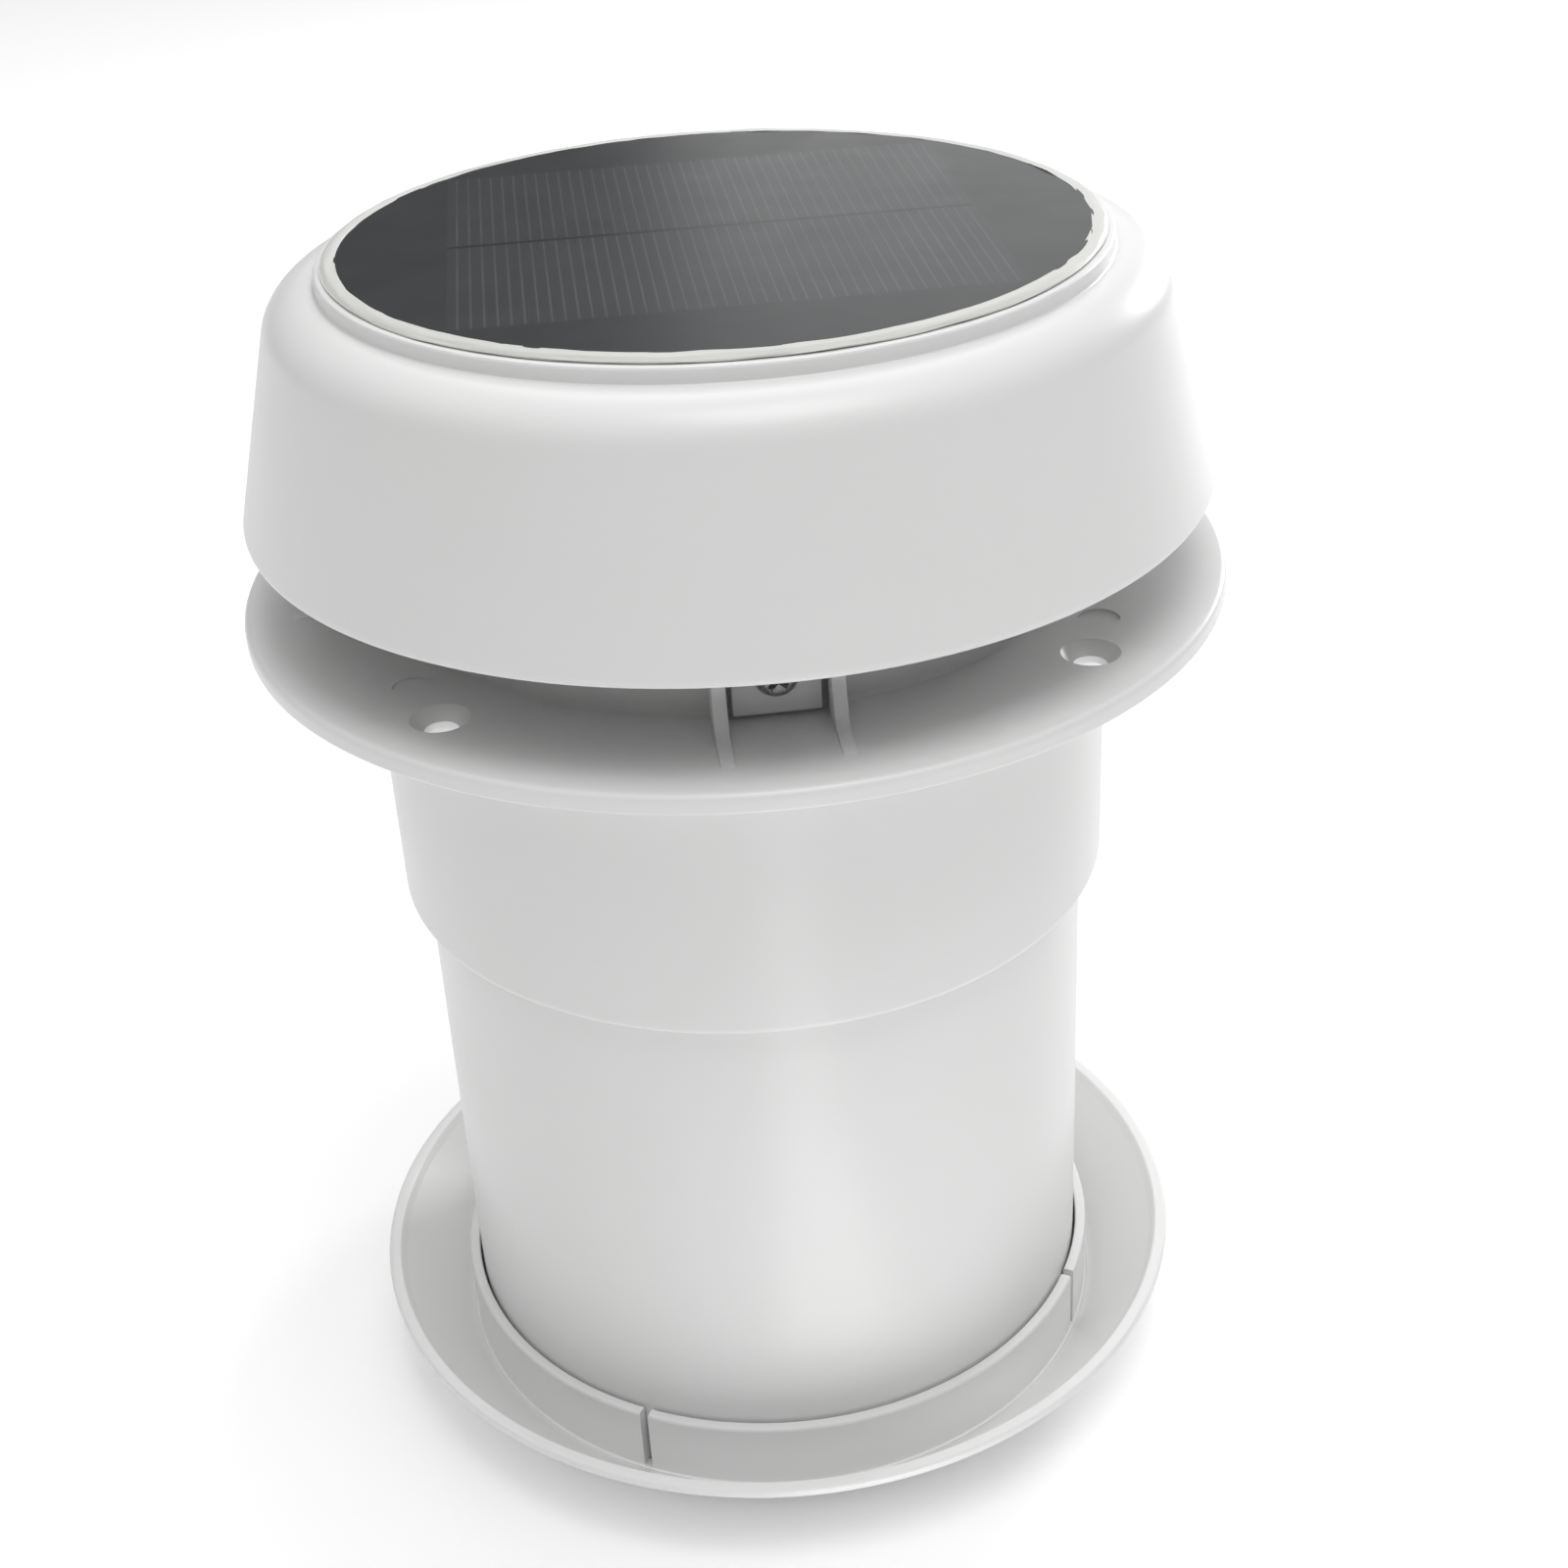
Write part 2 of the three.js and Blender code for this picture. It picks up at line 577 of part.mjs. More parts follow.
function motorHolder() {
  const flangeZ = HOLDER_TOP - HOLDER_FLANGE;
  const floorTop = HOLDER_Z + HOLDER_FLOOR;
  const noseHole = NOSE_R + 0.3;
  const edge = 0.6;
  let made = solid(
    turned(
      [
        [noseHole, HOLDER_Z],
        [HOLDER_R - edge, HOLDER_Z],
        [HOLDER_R, HOLDER_Z + edge],
        [HOLDER_R, flangeZ - 1],
        [HOLDER_R + 1, flangeZ],
        [HOLDER_FLANGE_R, flangeZ],
        [HOLDER_FLANGE_R, HOLDER_TOP],
        [HOLDER_BORE, HOLDER_TOP],
        [HOLDER_BORE, floorTop],
        [noseHole, floorTop],
      ],
      MEDIUM,
    ),
  );
  const gussetTop = flangeZ + HOLDER_FLANGE / 8;
  const gussetRoot = HOLDER_R - HOLDER_WALL / 4;
  const gusset = upright(
    [
      [gussetRoot, gussetTop],
      [gussetRoot, flangeZ - GUSSET_HEIGHT],
      [HOLDER_R + 0.4, flangeZ - GUSSET_HEIGHT],
      [HOLDER_FLANGE_R - 1.2, gussetTop],
    ],
    GUSSET_THICKNESS,
    0,
  );
  const hole = rod(HOLDER_SCREW.shank + SCREW_CLEARANCE, flangeZ - THROUGH, HOLDER_TOP + THROUGH, FINE)
    .translate(HOLDER_SCREW_CIRCLE_R, 0, 0);
  for (let i = 0; i < 3; i += 1) {
    made = made.add(solid(spun(gusset, 30 + 120 * i)));
    made = made.subtract(solid(spun(hole, 90 + 120 * i)));
  }
  const motorHole = rod(MOTOR_SCREW.shank + SCREW_CLEARANCE, HOLDER_Z - THROUGH, floorTop + THROUGH, FINE)
    .translate(MOTOR_SCREW_CIRCLE_R, 0, 0);
  for (const turn of [0, 180]) {
    made = made.subtract(solid(spun(motorHole, turn)));
  }
  return made;
}
add("motor_holder", motorHolder(), whitePlastic);

for (let i = 0; i < 3; i += 1) {
  const placed = surface(screw(HOLDER_SCREW))
    .translate(HOLDER_SCREW_CIRCLE_R, 0, HOLDER_TOP - HOLDER_FLANGE - SEAT_GAP);
  add("holder_screw_" + (i + 1), spun(placed, 90 + 120 * i), zincSteel);
}
["right", "left"].forEach((side, i) => {
  const placed = surface(screw(MOTOR_SCREW)).translate(MOTOR_SCREW_CIRCLE_R, 0, HOLDER_Z - SEAT_GAP);
  add("motor_screw_" + side, spun(placed, 180 * i), zincSteel);
});

// ---------------------------------------------------------------- motor

const NOSE_Z = MOTOR_Z - HOLDER_FLOOR;
const MOTOR_TOP = CAN_TOP + MOTOR_CAP_THICKNESS;

function motorCan() {
  const floorTop = MOTOR_Z + MOTOR_WALL;
  const bearingSeat = BEARING_R + SEAT_GAP;
  const corner = 1.0; // drawn corner of the can
  const made = solid(
    turned(
      [
        [bearingSeat, NOSE_Z],
        [NOSE_R, NOSE_Z],
        [NOSE_R, MOTOR_Z],
        [MOTOR_R - corner, MOTOR_Z],
        [MOTOR_R, MOTOR_Z + corner],
        [MOTOR_R, CAN_TOP],
        [CAN_BORE, CAN_TOP],
        [CAN_BORE, floorTop + corner],
        [CAN_BORE - corner, floorTop],
        [bearingSeat, floorTop],
      ],
      SMALL,
    ),
  );
  const hole = rod(MOTOR_SCREW.shank + SCREW_CLEARANCE, MOTOR_Z - THROUGH, floorTop + THROUGH, FINE)
    .translate(MOTOR_SCREW_CIRCLE_R, 0, 0);
  return made.subtract(solid(hole)).subtract(solid(spun(hole, 180)));
}
add("motor_can", motorCan(), zincSteel);

function motorEndCap() {
  const spigotR = CAN_BORE - MAGNET_CLEARANCE;
  const bearingSeat = BEARING_R + SEAT_GAP;
  return turned(
    [
      [bearingSeat, CAN_TOP - CAP_SPIGOT],
      [spigotR, CAN_TOP - CAP_SPIGOT],
      [spigotR, CAN_TOP + SEAT_GAP],
      [MOTOR_R - 0.2, CAN_TOP + SEAT_GAP],
      [MOTOR_R - 0.8, MOTOR_TOP],
      [bearingSeat, MOTOR_TOP],
    ],
    SMALL,
  );
}
add("motor_end_cap", motorEndCap(), blackPlastic);

add("motor_bearing_lower", tube(BORE_R, BEARING_R, NOSE_Z, MOTOR_Z + MOTOR_WALL, FINE), brass);
add("motor_bearing_upper", tube(BORE_R, BEARING_R, CAN_TOP - CAP_SPIGOT, MOTOR_TOP, FINE), brass);

for (const [side, middle] of [["right", 0], ["left", 180]]) {
  const half = MAGNET_ANGLE / 2;
  const outline = [
    ...arc([0, 0], MAGNET_R - MAGNET_CLEARANCE, middle - half, middle + half, 8),
    ...arc([0, 0], MAGNET_BORE, middle + half, middle - half, 8),
  ];
  const magnet = plate(outline, ARMATURE_Z - MAGNET_END, ARMATURE_Z + ARMATURE_LENGTH + MAGNET_END);
  add("motor_magnet_" + side, magnet, ferrite);
}

function armature() {
  const bore = SHAFT_R + PRESS_GAP;
  const top = ARMATURE_Z + ARMATURE_LENGTH;
  const commutatorR = bore + COMMUTATOR_WALL;
  const end = CAN_TOP - CAP_SPIGOT - 0.5;
  let made = solid(
    turned(
      [
        [bore, ARMATURE_Z],
        [ARMATURE_R, ARMATURE_Z],
        [ARMATURE_R, top],
        [commutatorR, top],
        [commutatorR, end],
        [bore, end],
      ],
      SMALL,
    ),
  );
  // Three winding slots between the poles.
  const slot = box(ARMATURE_R, 2.4, ARMATURE_LENGTH - 2, [
    ARMATURE_R,
    0,
    ARMATURE_Z + ARMATURE_LENGTH / 2,
  ]);
  for (let i = 0; i < 3; i += 1) {
    made = made.subtract(solid(spun(slot, 30 + 120 * i)));
  }
  return made;
}
add("motor_armature", armature(), copperSteel);

// ---------------------------------------------------------------- shaft and impeller

add("motor_shaft", rod(SHAFT_R, HUB_Z - SHAFT_END, MOTOR_TOP + SHAFT_END / 2, FINE), stainless);

const bushBore = SHAFT_R + PRESS_GAP;
const bushR = bushBore + BUSH_WALL;
const bushTop = HUB_TOP - BUSH_WALL;
add("impeller_bush", tube(bushBore, bushR, HUB_Z, bushTop, FINE), brass);

// One blade along +X: thin sections, each twisted to its pitch and bent to its radius.
function blade(inner, outer) {
  const stations = 5;
  const across = 4;
  const position = [];
  const index = [];
  const ring = 2 * (across + 1);
  for (let s = 0; s <= stations; s += 1) {
    const t = s / stations;
    const radius = THREE.MathUtils.lerp(inner, outer, t);
    const chord = THREE.MathUtils.lerp(BLADE_CHORD_ROOT, BLADE_CHORD_TIP, t);
    const pitch = rad(THREE.MathUtils.lerp(BLADE_PITCH_ROOT, BLADE_PITCH_TIP, t));
    const upper = [];
    const lower = [];
    for (let c = 0; c <= across; c += 1) {
      const u = c / across - 0.5;
      const camber = 0.08 * chord * (1 - 4 * u * u);
      const half = (BLADE_THICKNESS / 2) * (1 - 1.2 * u * u);
      for (const [side, list] of [[1, upper], [-1, lower]]) {
        const along = u * chord;
        const away = camber + side * half;
        const arcLength = along * Math.cos(pitch) - away * Math.sin(pitch);
        const lift = along * Math.sin(pitch) + away * Math.cos(pitch);
        const turn = arcLength / radius;
        list.push([radius * Math.cos(turn), radius * Math.sin(turn), lift]);
      }
    }
    [...upper, ...lower.reverse()].forEach((point) => position.push(...point));
  }
  for (let s = 0; s < stations; s += 1) {
    for (let k = 0; k < ring; k += 1) {
      const a = s * ring + k;
      const b = s * ring + ((k + 1) % ring);
      index.push(a, a + ring, b, b, a + ring, b + ring);
    }
  }
  const last = stations * ring;
  for (let k = 0; k < across; k += 1) {
    const opposite = ring - 1 - k;
    index.push(k, k + 1, opposite, k + 1, opposite - 1, opposite);
    index.push(last + k, last + opposite, last + k + 1);
    index.push(last + k + 1, last + opposite, last + opposite - 1);
  }
  const geometry = new THREE.BufferGeometry();
  geometry.setAttribute("position", new THREE.Float32BufferAttribute(position, 3));
  geometry.setIndex(index);
  return geometry;
}

function impeller() {
  const bore = bushR + PRESS_GAP;
  const boss = bore + HUB_WALL;
  let made = solid(
    turned(
      [
        [bore, HUB_Z],
        [HUB_R - HUB_ROUND, HUB_Z],
        ...arc([HUB_R - HUB_ROUND, HUB_Z + HUB_ROUND], HUB_ROUND, -60, 0, 2),
        [HUB_R, HUB_TOP],
        [HUB_R - HUB_WALL, HUB_TOP],
        [HUB_R - HUB_WALL, HUB_Z + HUB_FLOOR],
        [boss, HUB_Z + HUB_FLOOR],
        [boss, bushTop],
        [bore, bushTop],
      ],
      MEDIUM,
    ),
  );
  const single = blade(HUB_R - HUB_WALL / 2, IMPELLER_R).translate(0, 0, (HUB_Z + HUB_TOP) / 2);
  for (let i = 0; i < BLADE_COUNT; i += 1) {
    made = made.add(solid(spun(single, (360 / BLADE_COUNT) * i)));
  }
  return made;
}
add("impeller", impeller(), blackPlastic);

// ---------------------------------------------------------------- leads

add(
  "lead_grommet",
  turned(
    [
      [GROMMET_HOLE_R, ROOF_Z - GROMMET_LIP],
      [GROMMET_R + GROMMET_LIP, ROOF_Z - GROMMET_LIP],
      [GROMMET_R + GROMMET_LIP, ROOF_Z - SEAT_GAP],
      [GROMMET_R, ROOF_Z - SEAT_GAP],
      [GROMMET_R, ROOF_TOP],
      [GROMMET_HOLE_R, ROOF_TOP],
    ],
    FINE,
  ),
  blackPlastic,
);

// Each lead runs from its terminal on the motor's end cap, through the grommet, to the panel.
function lead(side) {
  const start = MOTOR_TOP + 0.3;
  const rise = ROOF_Z - start;
  const across = (share) => side * THREE.MathUtils.lerp(TERMINAL_X, LEAD_X, share);
  const route = new THREE.CatmullRomCurve3([
    new THREE.Vector3(across(0), 0, start),
    new THREE.Vector3(across(0), 0, start + 0.21 * rise),
    new THREE.Vector3(across(0.37), LEAD_R * 0.75, start + 0.47 * rise),
    new THREE.Vector3(across(0.88), LEAD_R * 0.4, start + 0.64 * rise),
    new THREE.Vector3(across(1), 0, ROOF_Z),
    new THREE.Vector3(across(1), 0, BACKING_Z + BACKING_THICKNESS / 3),
  ]);
  const section = new THREE.Shape();
  section.absarc(0, 0, LEAD_R, 0, 2 * Math.PI);
  return new THREE.ExtrudeGeometry(section, { steps: 12, curveSegments: 4, extrudePath: route });
}
add("lead_red", lead(1), redLead);
add("lead_black", lead(-1), blackLead);

// ---------------------------------------------------------------- insect screen

const screenR = DUCT_BORE_R - SCREEN_CLEARANCE;
const screenZ = SCREEN_TOP - SCREEN_FRAME_HEIGHT;

function screenFrame() {
  let made = solid(tube(screenR - SCREEN_FRAME_WIDTH, screenR, screenZ, SCREEN_TOP, LARGE));
  const barHeight = SCREEN_FRAME_HEIGHT * 0.6;
  const bar = box(2 * screenR - SCREEN_FRAME_WIDTH, SCREEN_BAR_WIDTH, barHeight, [
    0,
    0,
    screenZ + barHeight / 2,
  ]);
  for (const turn of [45, 135]) {
    made = made.add(solid(spun(bar, turn)));
  }
  return made;
}
add("screen_frame", screenFrame(), whitePlastic);
add(
  "insect_screen",
  rod(screenR - SCREEN_CLEARANCE, screenZ - SEAT_GAP - SCREEN_THICKNESS, screenZ - SEAT_GAP, LARGE),
  meshSteel,
);

// ---------------------------------------------------------------- sleeve and trim ring

const sleeveTop = DUCT_END + SLEEVE_OVERLAP;
const sleeveBore = SLEEVE_R - SLEEVE_WALL;
const chamfer = 0.5;
add(
  "telescopic_sleeve",
  turned(
    [
      [sleeveBore, SLEEVE_FOOT_GAP],
      [SLEEVE_R - chamfer, SLEEVE_FOOT_GAP],
      [SLEEVE_R, SLEEVE_FOOT_GAP + chamfer],
      [SLEEVE_R, sleeveTop - chamfer],
      [SLEEVE_R - chamfer, sleeveTop],
      [sleeveBore, sleeveTop],
    ],
    LARGE,
  ),
  whitePlastic,
);

function trimRing() {
  const bore = SLEEVE_R + RING_CLEARANCE;
  const collar = bore + COLLAR_WALL;
  const ringR = collar + RING_FLARE;
  const rimTop = RING_HEIGHT + RING_RIM_RISE;
  const footR = bore + RING_FOOT_WIDTH;
  const valley = RING_WALL + 0.4;
  const lean = RING_WALL * 0.74;
  const round = 0.6; // outer edge of the rim
  const edge = COLLAR_WALL / 5;
  const profile = [
    [bore, 0],
    [footR, 0],
    [footR + RING_WALL / 2, round],
    [ringR - 1.7, rimTop - 2.3],
    [ringR - round / 2, rimTop - 2 * round],
    [ringR, rimTop - round],
    [ringR - round / 4, rimTop - round / 4],
    [ringR - round, rimTop],
    [ringR - round - RIM_LAND, rimTop],
    [ringR - 1.7 - lean, rimTop - 2.3 + lean * 0.5],
    [collar + 1.7, valley + 0.9],
    [collar + 0.7, valley],
    [collar, valley + 0.8],
    [collar, RING_HEIGHT - edge],
    [collar - edge, RING_HEIGHT],
    [bore + edge, RING_HEIGHT],
    [bore, RING_HEIGHT - edge],
  ];
  let made = solid(turned(profile, LARGE));
  // Slots part the collar into spring fingers that grip the sleeve.
  const slot = box(2 * COLLAR_WALL, SLOT_WIDTH, SLOT_DEPTH + THROUGH, [
    collar - 0.65 * COLLAR_WALL,
    0,
    RING_HEIGHT + (THROUGH - SLOT_DEPTH) / 2,
  ]);
  for (let i = 0; i < 4; i += 1) {
    made = made.subtract(solid(spun(slot, SLOT_START + 90 * i)));
  }
  return made;
}
add("trim_ring", trimRing(), whitePlastic);

export default fan;
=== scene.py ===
"""Solar attic fan: the detailed pieces and their materials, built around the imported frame."""
import json
import math

import bmesh
import bpy
from mathutils import Matrix, Vector


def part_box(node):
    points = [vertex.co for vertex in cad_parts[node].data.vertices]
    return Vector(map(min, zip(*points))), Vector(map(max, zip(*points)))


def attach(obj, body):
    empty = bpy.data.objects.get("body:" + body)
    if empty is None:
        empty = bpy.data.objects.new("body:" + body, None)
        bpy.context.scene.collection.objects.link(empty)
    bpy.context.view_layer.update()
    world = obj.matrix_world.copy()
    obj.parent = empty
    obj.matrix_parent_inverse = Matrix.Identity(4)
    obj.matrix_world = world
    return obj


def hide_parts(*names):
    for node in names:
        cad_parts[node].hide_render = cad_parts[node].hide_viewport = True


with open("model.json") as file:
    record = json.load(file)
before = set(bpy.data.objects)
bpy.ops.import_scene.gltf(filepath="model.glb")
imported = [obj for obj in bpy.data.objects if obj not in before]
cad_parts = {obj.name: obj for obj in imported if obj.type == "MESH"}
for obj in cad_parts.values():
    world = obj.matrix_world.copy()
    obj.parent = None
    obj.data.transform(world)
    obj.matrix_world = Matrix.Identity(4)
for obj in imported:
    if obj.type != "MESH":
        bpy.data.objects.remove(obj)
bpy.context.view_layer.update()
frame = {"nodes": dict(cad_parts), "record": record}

# ---------------------------------------------------------------- camera
# A square frame from just above the cap, a little left of the front post, tipped down on to the fan.
lens_data = bpy.data.cameras.new("camera")
lens_data.lens = 52.27
lens_data.sensor_width = 36.0
lens_data.clip_start = 0.01
camera = bpy.data.objects.new("camera", lens_data)
bpy.context.scene.collection.objects.link(camera)
heading = Matrix.Rotation(math.radians(-5.59), 4, "Z")
tilt = Matrix.Rotation(math.radians(60.21), 4, "X")
roll = Matrix.Rotation(math.radians(-3.22), 4, "Z")
camera.matrix_world = Matrix.Translation((-0.0282, -0.3510, 0.3129)) @ heading @ tilt @ roll
bpy.context.scene.camera = camera
bpy.context.scene.view_settings.view_transform = "Standard"

# ---------------------------------------------------------------- base flange
# One white ABS moulding: the deck flange, the duct that goes down through the roof, the low coaming round
# the throat, and the pairs of ribs that make the four posts. It is injection moulded, with the screw
# holes and the marks of the ejector pins left in its flange.
MM = 0.001
mounts = {mount["name"]: mount for mount in frame["record"]["mounts"]}
base_low, base_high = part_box("base_flange")
deck_z = mounts["deck_face"]["pos_m"][2] / MM
duct_end = base_low.z / MM
coaming_top = base_high.z / MM
flange_r = base_high.x / MM
flange_top = deck_z + 3.1
ledge_z = deck_z - 1.0
duct_r, duct_bore = 62.0, 59.0
coaming_r, throat_r = 57.4, 55.4
leg_face = 60.0


def only(piece):
    """Makes one piece the selected and active one."""
    bpy.ops.object.select_all(action="DESELECT")
    piece.select_set(True)
    bpy.context.view_layer.objects.active = piece


def choose(piece, test, mode="FACE"):
    """In edit mode, selects just the faces, edges or vertices whose middle passes the test."""
    bpy.ops.mesh.select_mode(type=mode)
    bpy.ops.mesh.select_all(action="DESELECT")
    shape = bmesh.from_edit_mesh(piece.data)
    parts = {"FACE": shape.faces, "EDGE": shape.edges, "VERT": shape.verts}[mode]
    for part in parts:
        corners = [part.co] if mode == "VERT" else [vertex.co for vertex in part.verts]
        middle = sum(corners, Vector()) / len(corners)
        if test(middle / MM, part):
            part.select_set(True)
    shape.select_flush_mode()
    bmesh.update_edit_mesh(piece.data)


def draw(name, outline):
    """Draws a closed outline in the X-Z plane, corner by corner, and rounds its corners.

    Each corner is (x, z) or (x, z, radius) in millimetres. A flat beside a rounded corner gets a point of
    its own close to the rounding, so that it stays flat when it is shaded smooth. Ends in edit mode.
    """
    corners = [Vector((corner[0], 0, corner[1])) for corner in outline]
    radii = [corner[2] if len(corner) > 2 else 0 for corner in outline]
    count = len(corners)
    points, rounded = [], []
    for i, corner in enumerate(corners):
        before, after = corners[i - 1] - corner, corners[(i + 1) % count] - corner
        reach = radii[i] * math.tan((math.pi - before.angle(after)) / 2)
        ends = []
        for side in (before, after):
            beside = reach + min(0.4, 0.25 * (side.length - reach))
            ends.append(corner + side.normalized() * beside)
        if radii[i]:
            points += [ends[0], corner, ends[1]]
            rounded.append((corner, reach))
        else:
            points.append(corner)
    bpy.ops.object.select_all(action="DESELECT")
    bpy.ops.mesh.primitive_plane_add(size=MM)
    piece = bpy.context.object
    piece.name = name
    bpy.ops.object.mode_set(mode="EDIT")
    bpy.ops.mesh.select_mode(type="VERT")
    bpy.ops.mesh.select_all(action="SELECT")
    bpy.ops.mesh.merge(type="CENTER")
    bpy.ops.transform.translate(value=points[0] * MM)
    for start, end in zip(points, points[1:]):
        bpy.ops.mesh.extrude_vertices_move(TRANSFORM_OT_translate={"value": (end - start) * MM})
    choose(piece, lambda at, _: min((at - points[0]).length, (at - points[-1]).length) < 1e-3, "VERT")
    bpy.ops.mesh.edge_face_add()
    for corner, reach in rounded:
        choose(piece, lambda at, _: (at - corner).length < 1e-3, "VERT")
        steps = 3 if reach < 0.8 else 10 if reach > 3 else 5
        bpy.ops.mesh.bevel(offset=reach * MM, segments=steps, affect="VERTICES")
    bpy.ops.mesh.select_all(action="SELECT")
    return piece


def settle(piece, angle=30):
    """Leaves edit mode with the doubles merged, the faces outward, and smooth shading between near faces."""
    bpy.ops.mesh.select_all(action="SELECT")
    bpy.ops.mesh.remove_doubles(threshold=1e-6)
    bpy.ops.mesh.normals_make_consistent(inside=False)
    bpy.ops.object.mode_set(mode="OBJECT")
    only(piece)
    bpy.ops.object.shade_smooth_by_angle(angle=math.radians(angle))
    return piece


def turn(name, outline, steps=160, centre=(0, 0)):
    """A round piece: its outline spun about an upright axis."""
    piece = draw(name, outline)
    middle = (centre[0] * MM, centre[1] * MM, 0)
    bpy.ops.transform.translate(value=middle)
    bpy.ops.mesh.spin(steps=steps, angle=2 * math.pi, center=middle, axis=(0, 0, 1))
    return settle(piece)


def slab(name, outline, thickness, bevel=0.0):
    """An upright plate in the X-Z plane, half its thickness each side of the axis, with its edges broken."""
    piece = draw(name, outline)
    bpy.ops.mesh.edge_face_add()
    bpy.ops.transform.translate(value=(0, -thickness / 2 * MM, 0))
    bpy.ops.mesh.extrude_region_move(TRANSFORM_OT_translate={"value": (0, thickness * MM, 0)})
    bpy.ops.mesh.select_all(action="SELECT")
    bpy.ops.mesh.normals_make_consistent(inside=False)
    if bevel:
        flat = math.cos(math.radians(40))
        choose(
            piece,
            lambda _, edge: edge.link_faces[0].normal.dot(edge.link_faces[1].normal) < flat,
            "EDGE",
        )
        bpy.ops.mesh.bevel(offset=bevel * MM, segments=2)
    return settle(piece)


def spin_copies(piece, count, start=0.0):
    """Turns a piece about the duct axis to its first place, in degrees, and copies it round the axis."""
    only(piece)
    bpy.ops.object.mode_set(mode="EDIT")
    bpy.ops.mesh.select_all(action="SELECT")
    about = {"orient_axis": "Z", "center_override": (0, 0, 0)}
    bpy.ops.transform.rotate(value=-math.radians(start), **about)
    for _ in range(count - 1):
        bpy.ops.mesh.duplicate()
        bpy.ops.transform.rotate(value=-2 * math.pi / count, **about)
    bpy.ops.object.mode_set(mode="OBJECT")
    return piece


def combine(piece, tool, how):
    """Joins another shape on to a piece, or cuts it out, and shades the result."""
    only(piece)
    modifier = piece.modifiers.new(how, "BOOLEAN")
    modifier.object = tool
    modifier.operation = how
    modifier.solver = "EXACT"
    bpy.ops.object.modifier_apply(modifier=modifier.name)
    bpy.data.objects.remove(tool)
    bpy.ops.object.shade_smooth_by_angle(angle=math.radians(30))
    return piece


def place(piece, body, slot, material, *nodes):
    """Puts a finished piece on its body, in place of its CAD nodes, with its material."""
    piece.data.materials.clear()
    piece.data.materials.append(material)
    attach(piece, body)
    if nodes:
        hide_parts(*nodes)
    return piece


def linear(colour):
    """An sRGB hex colour as the linear colour that a shader takes."""
    parts = [int(colour[i:i + 2], 16) / 255 for i in (1, 3, 5)]
    return tuple(c / 12.92 if c <= 0.04045 else ((c + 0.055) / 1.055) ** 2.4 for c in parts) + (1.0,)


def add_node(tree, kind, inputs=None, **settings):
    """Adds a shader node with its settings. An input is a value, or the output that it is linked to."""
    made = tree.nodes.new("ShaderNode" + kind)
    for name, value in settings.items():
        setattr(made, name, value)
    for name, value in (inputs or {}).items():
        if isinstance(value, bpy.types.NodeSocket):
            tree.links.new(value, made.inputs[name])
        else:
            made.inputs[name].default_value = value
    return made


def moulded_plastic(name, colour, shade, rubbed, roughness, ior, peel):
    """A moulded plastic or rubber. The mould gives it a faint ripple and a soft unevenness of gloss, and
    handling leaves fine rubs and slightly lighter, duller edges."""
    material = bpy.data.materials.new(name)
    material.use_nodes = True
    tree = material.node_tree
    shader = tree.nodes["Principled BSDF"]
    shader.inputs["IOR"].default_value = ior
    where = add_node(tree, "TexCoord").outputs["Object"]
    drift = add_node(tree, "TexNoise", {"Vector": where, "Scale": 1 / (28 * MM), "Detail": 0.0})
    tint = add_node(
        tree, "Mix",
        {"Factor": drift.outputs["Fac"], "A": linear(colour), "B": linear(shade)}, data_type="RGBA",
    )
    # Edges, which the mesh's own pointiness picks out, are rubbed a little lighter.
    edge = add_node(
        tree, "MapRange",
        {"Value": add_node(tree, "NewGeometry").outputs["Pointiness"], "From Min": 0.53, "From Max": 0.62},
    )
    worn = add_node(
        tree, "Mix",
        {"Factor": add_node(
            tree, "Math", {0: edge.outputs["Result"], 1: 0.25}, operation="MULTIPLY",
        ).outputs["Value"], "A": tint.outputs["Result"], "B": linear(rubbed)},
        data_type="RGBA",
    )
    tree.links.new(worn.outputs["Result"], shader.inputs["Base Color"])
    # Rubs: noise stretched along the duct axis into hair-fine marks 0.5 mm wide.
    stretched = add_node(tree, "Mapping", {"Vector": where, "Scale": (1.0, 1.0, 0.05)})
    rubs = add_node(
        tree, "TexNoise",
        {"Vector": stretched.outputs["Vector"], "Scale": 1 / (0.5 * MM), "Detail": 2.0},
    )
    rub = add_node(
        tree, "MapRange", {"Value": rubs.outputs["Fac"], "From Min": 0.62, "From Max": 0.8},
    )
    smudge = add_node(tree, "TexNoise", {"Vector": where, "Scale": 1 / (16 * MM), "Detail": 0.0})
    gloss = add_node(
        tree, "MapRange",
        {"Value": smudge.outputs["Fac"], "From Min": 0.2, "From Max": 0.8,
         "To Min": roughness - 0.02, "To Max": roughness + 0.03},
    )
    dull = add_node(
        tree, "Math", {0: rub.outputs["Result"], 1: 0.025, 2: gloss.outputs["Result"]},
        operation="MULTIPLY_ADD",
    )
    dull_edge = add_node(
        tree, "Math", {0: edge.outputs["Result"], 1: 0.06, 2: dull.outputs["Value"]},
        operation="MULTIPLY_ADD",
    )
    tree.links.new(dull_edge.outputs["Value"], shader.inputs["Roughness"])
    ripple = add_node(tree, "TexNoise", {"Vector": where, "Scale": 1 / (2.5 * MM), "Detail": 2.0})
    bump = add_node(
        tree, "Bump", {"Height": ripple.outputs["Fac"], "Strength": peel, "Distance": 0.3 * MM},
    )
    tree.links.new(bump.outputs["Normal"], shader.inputs["Normal"])
    return material


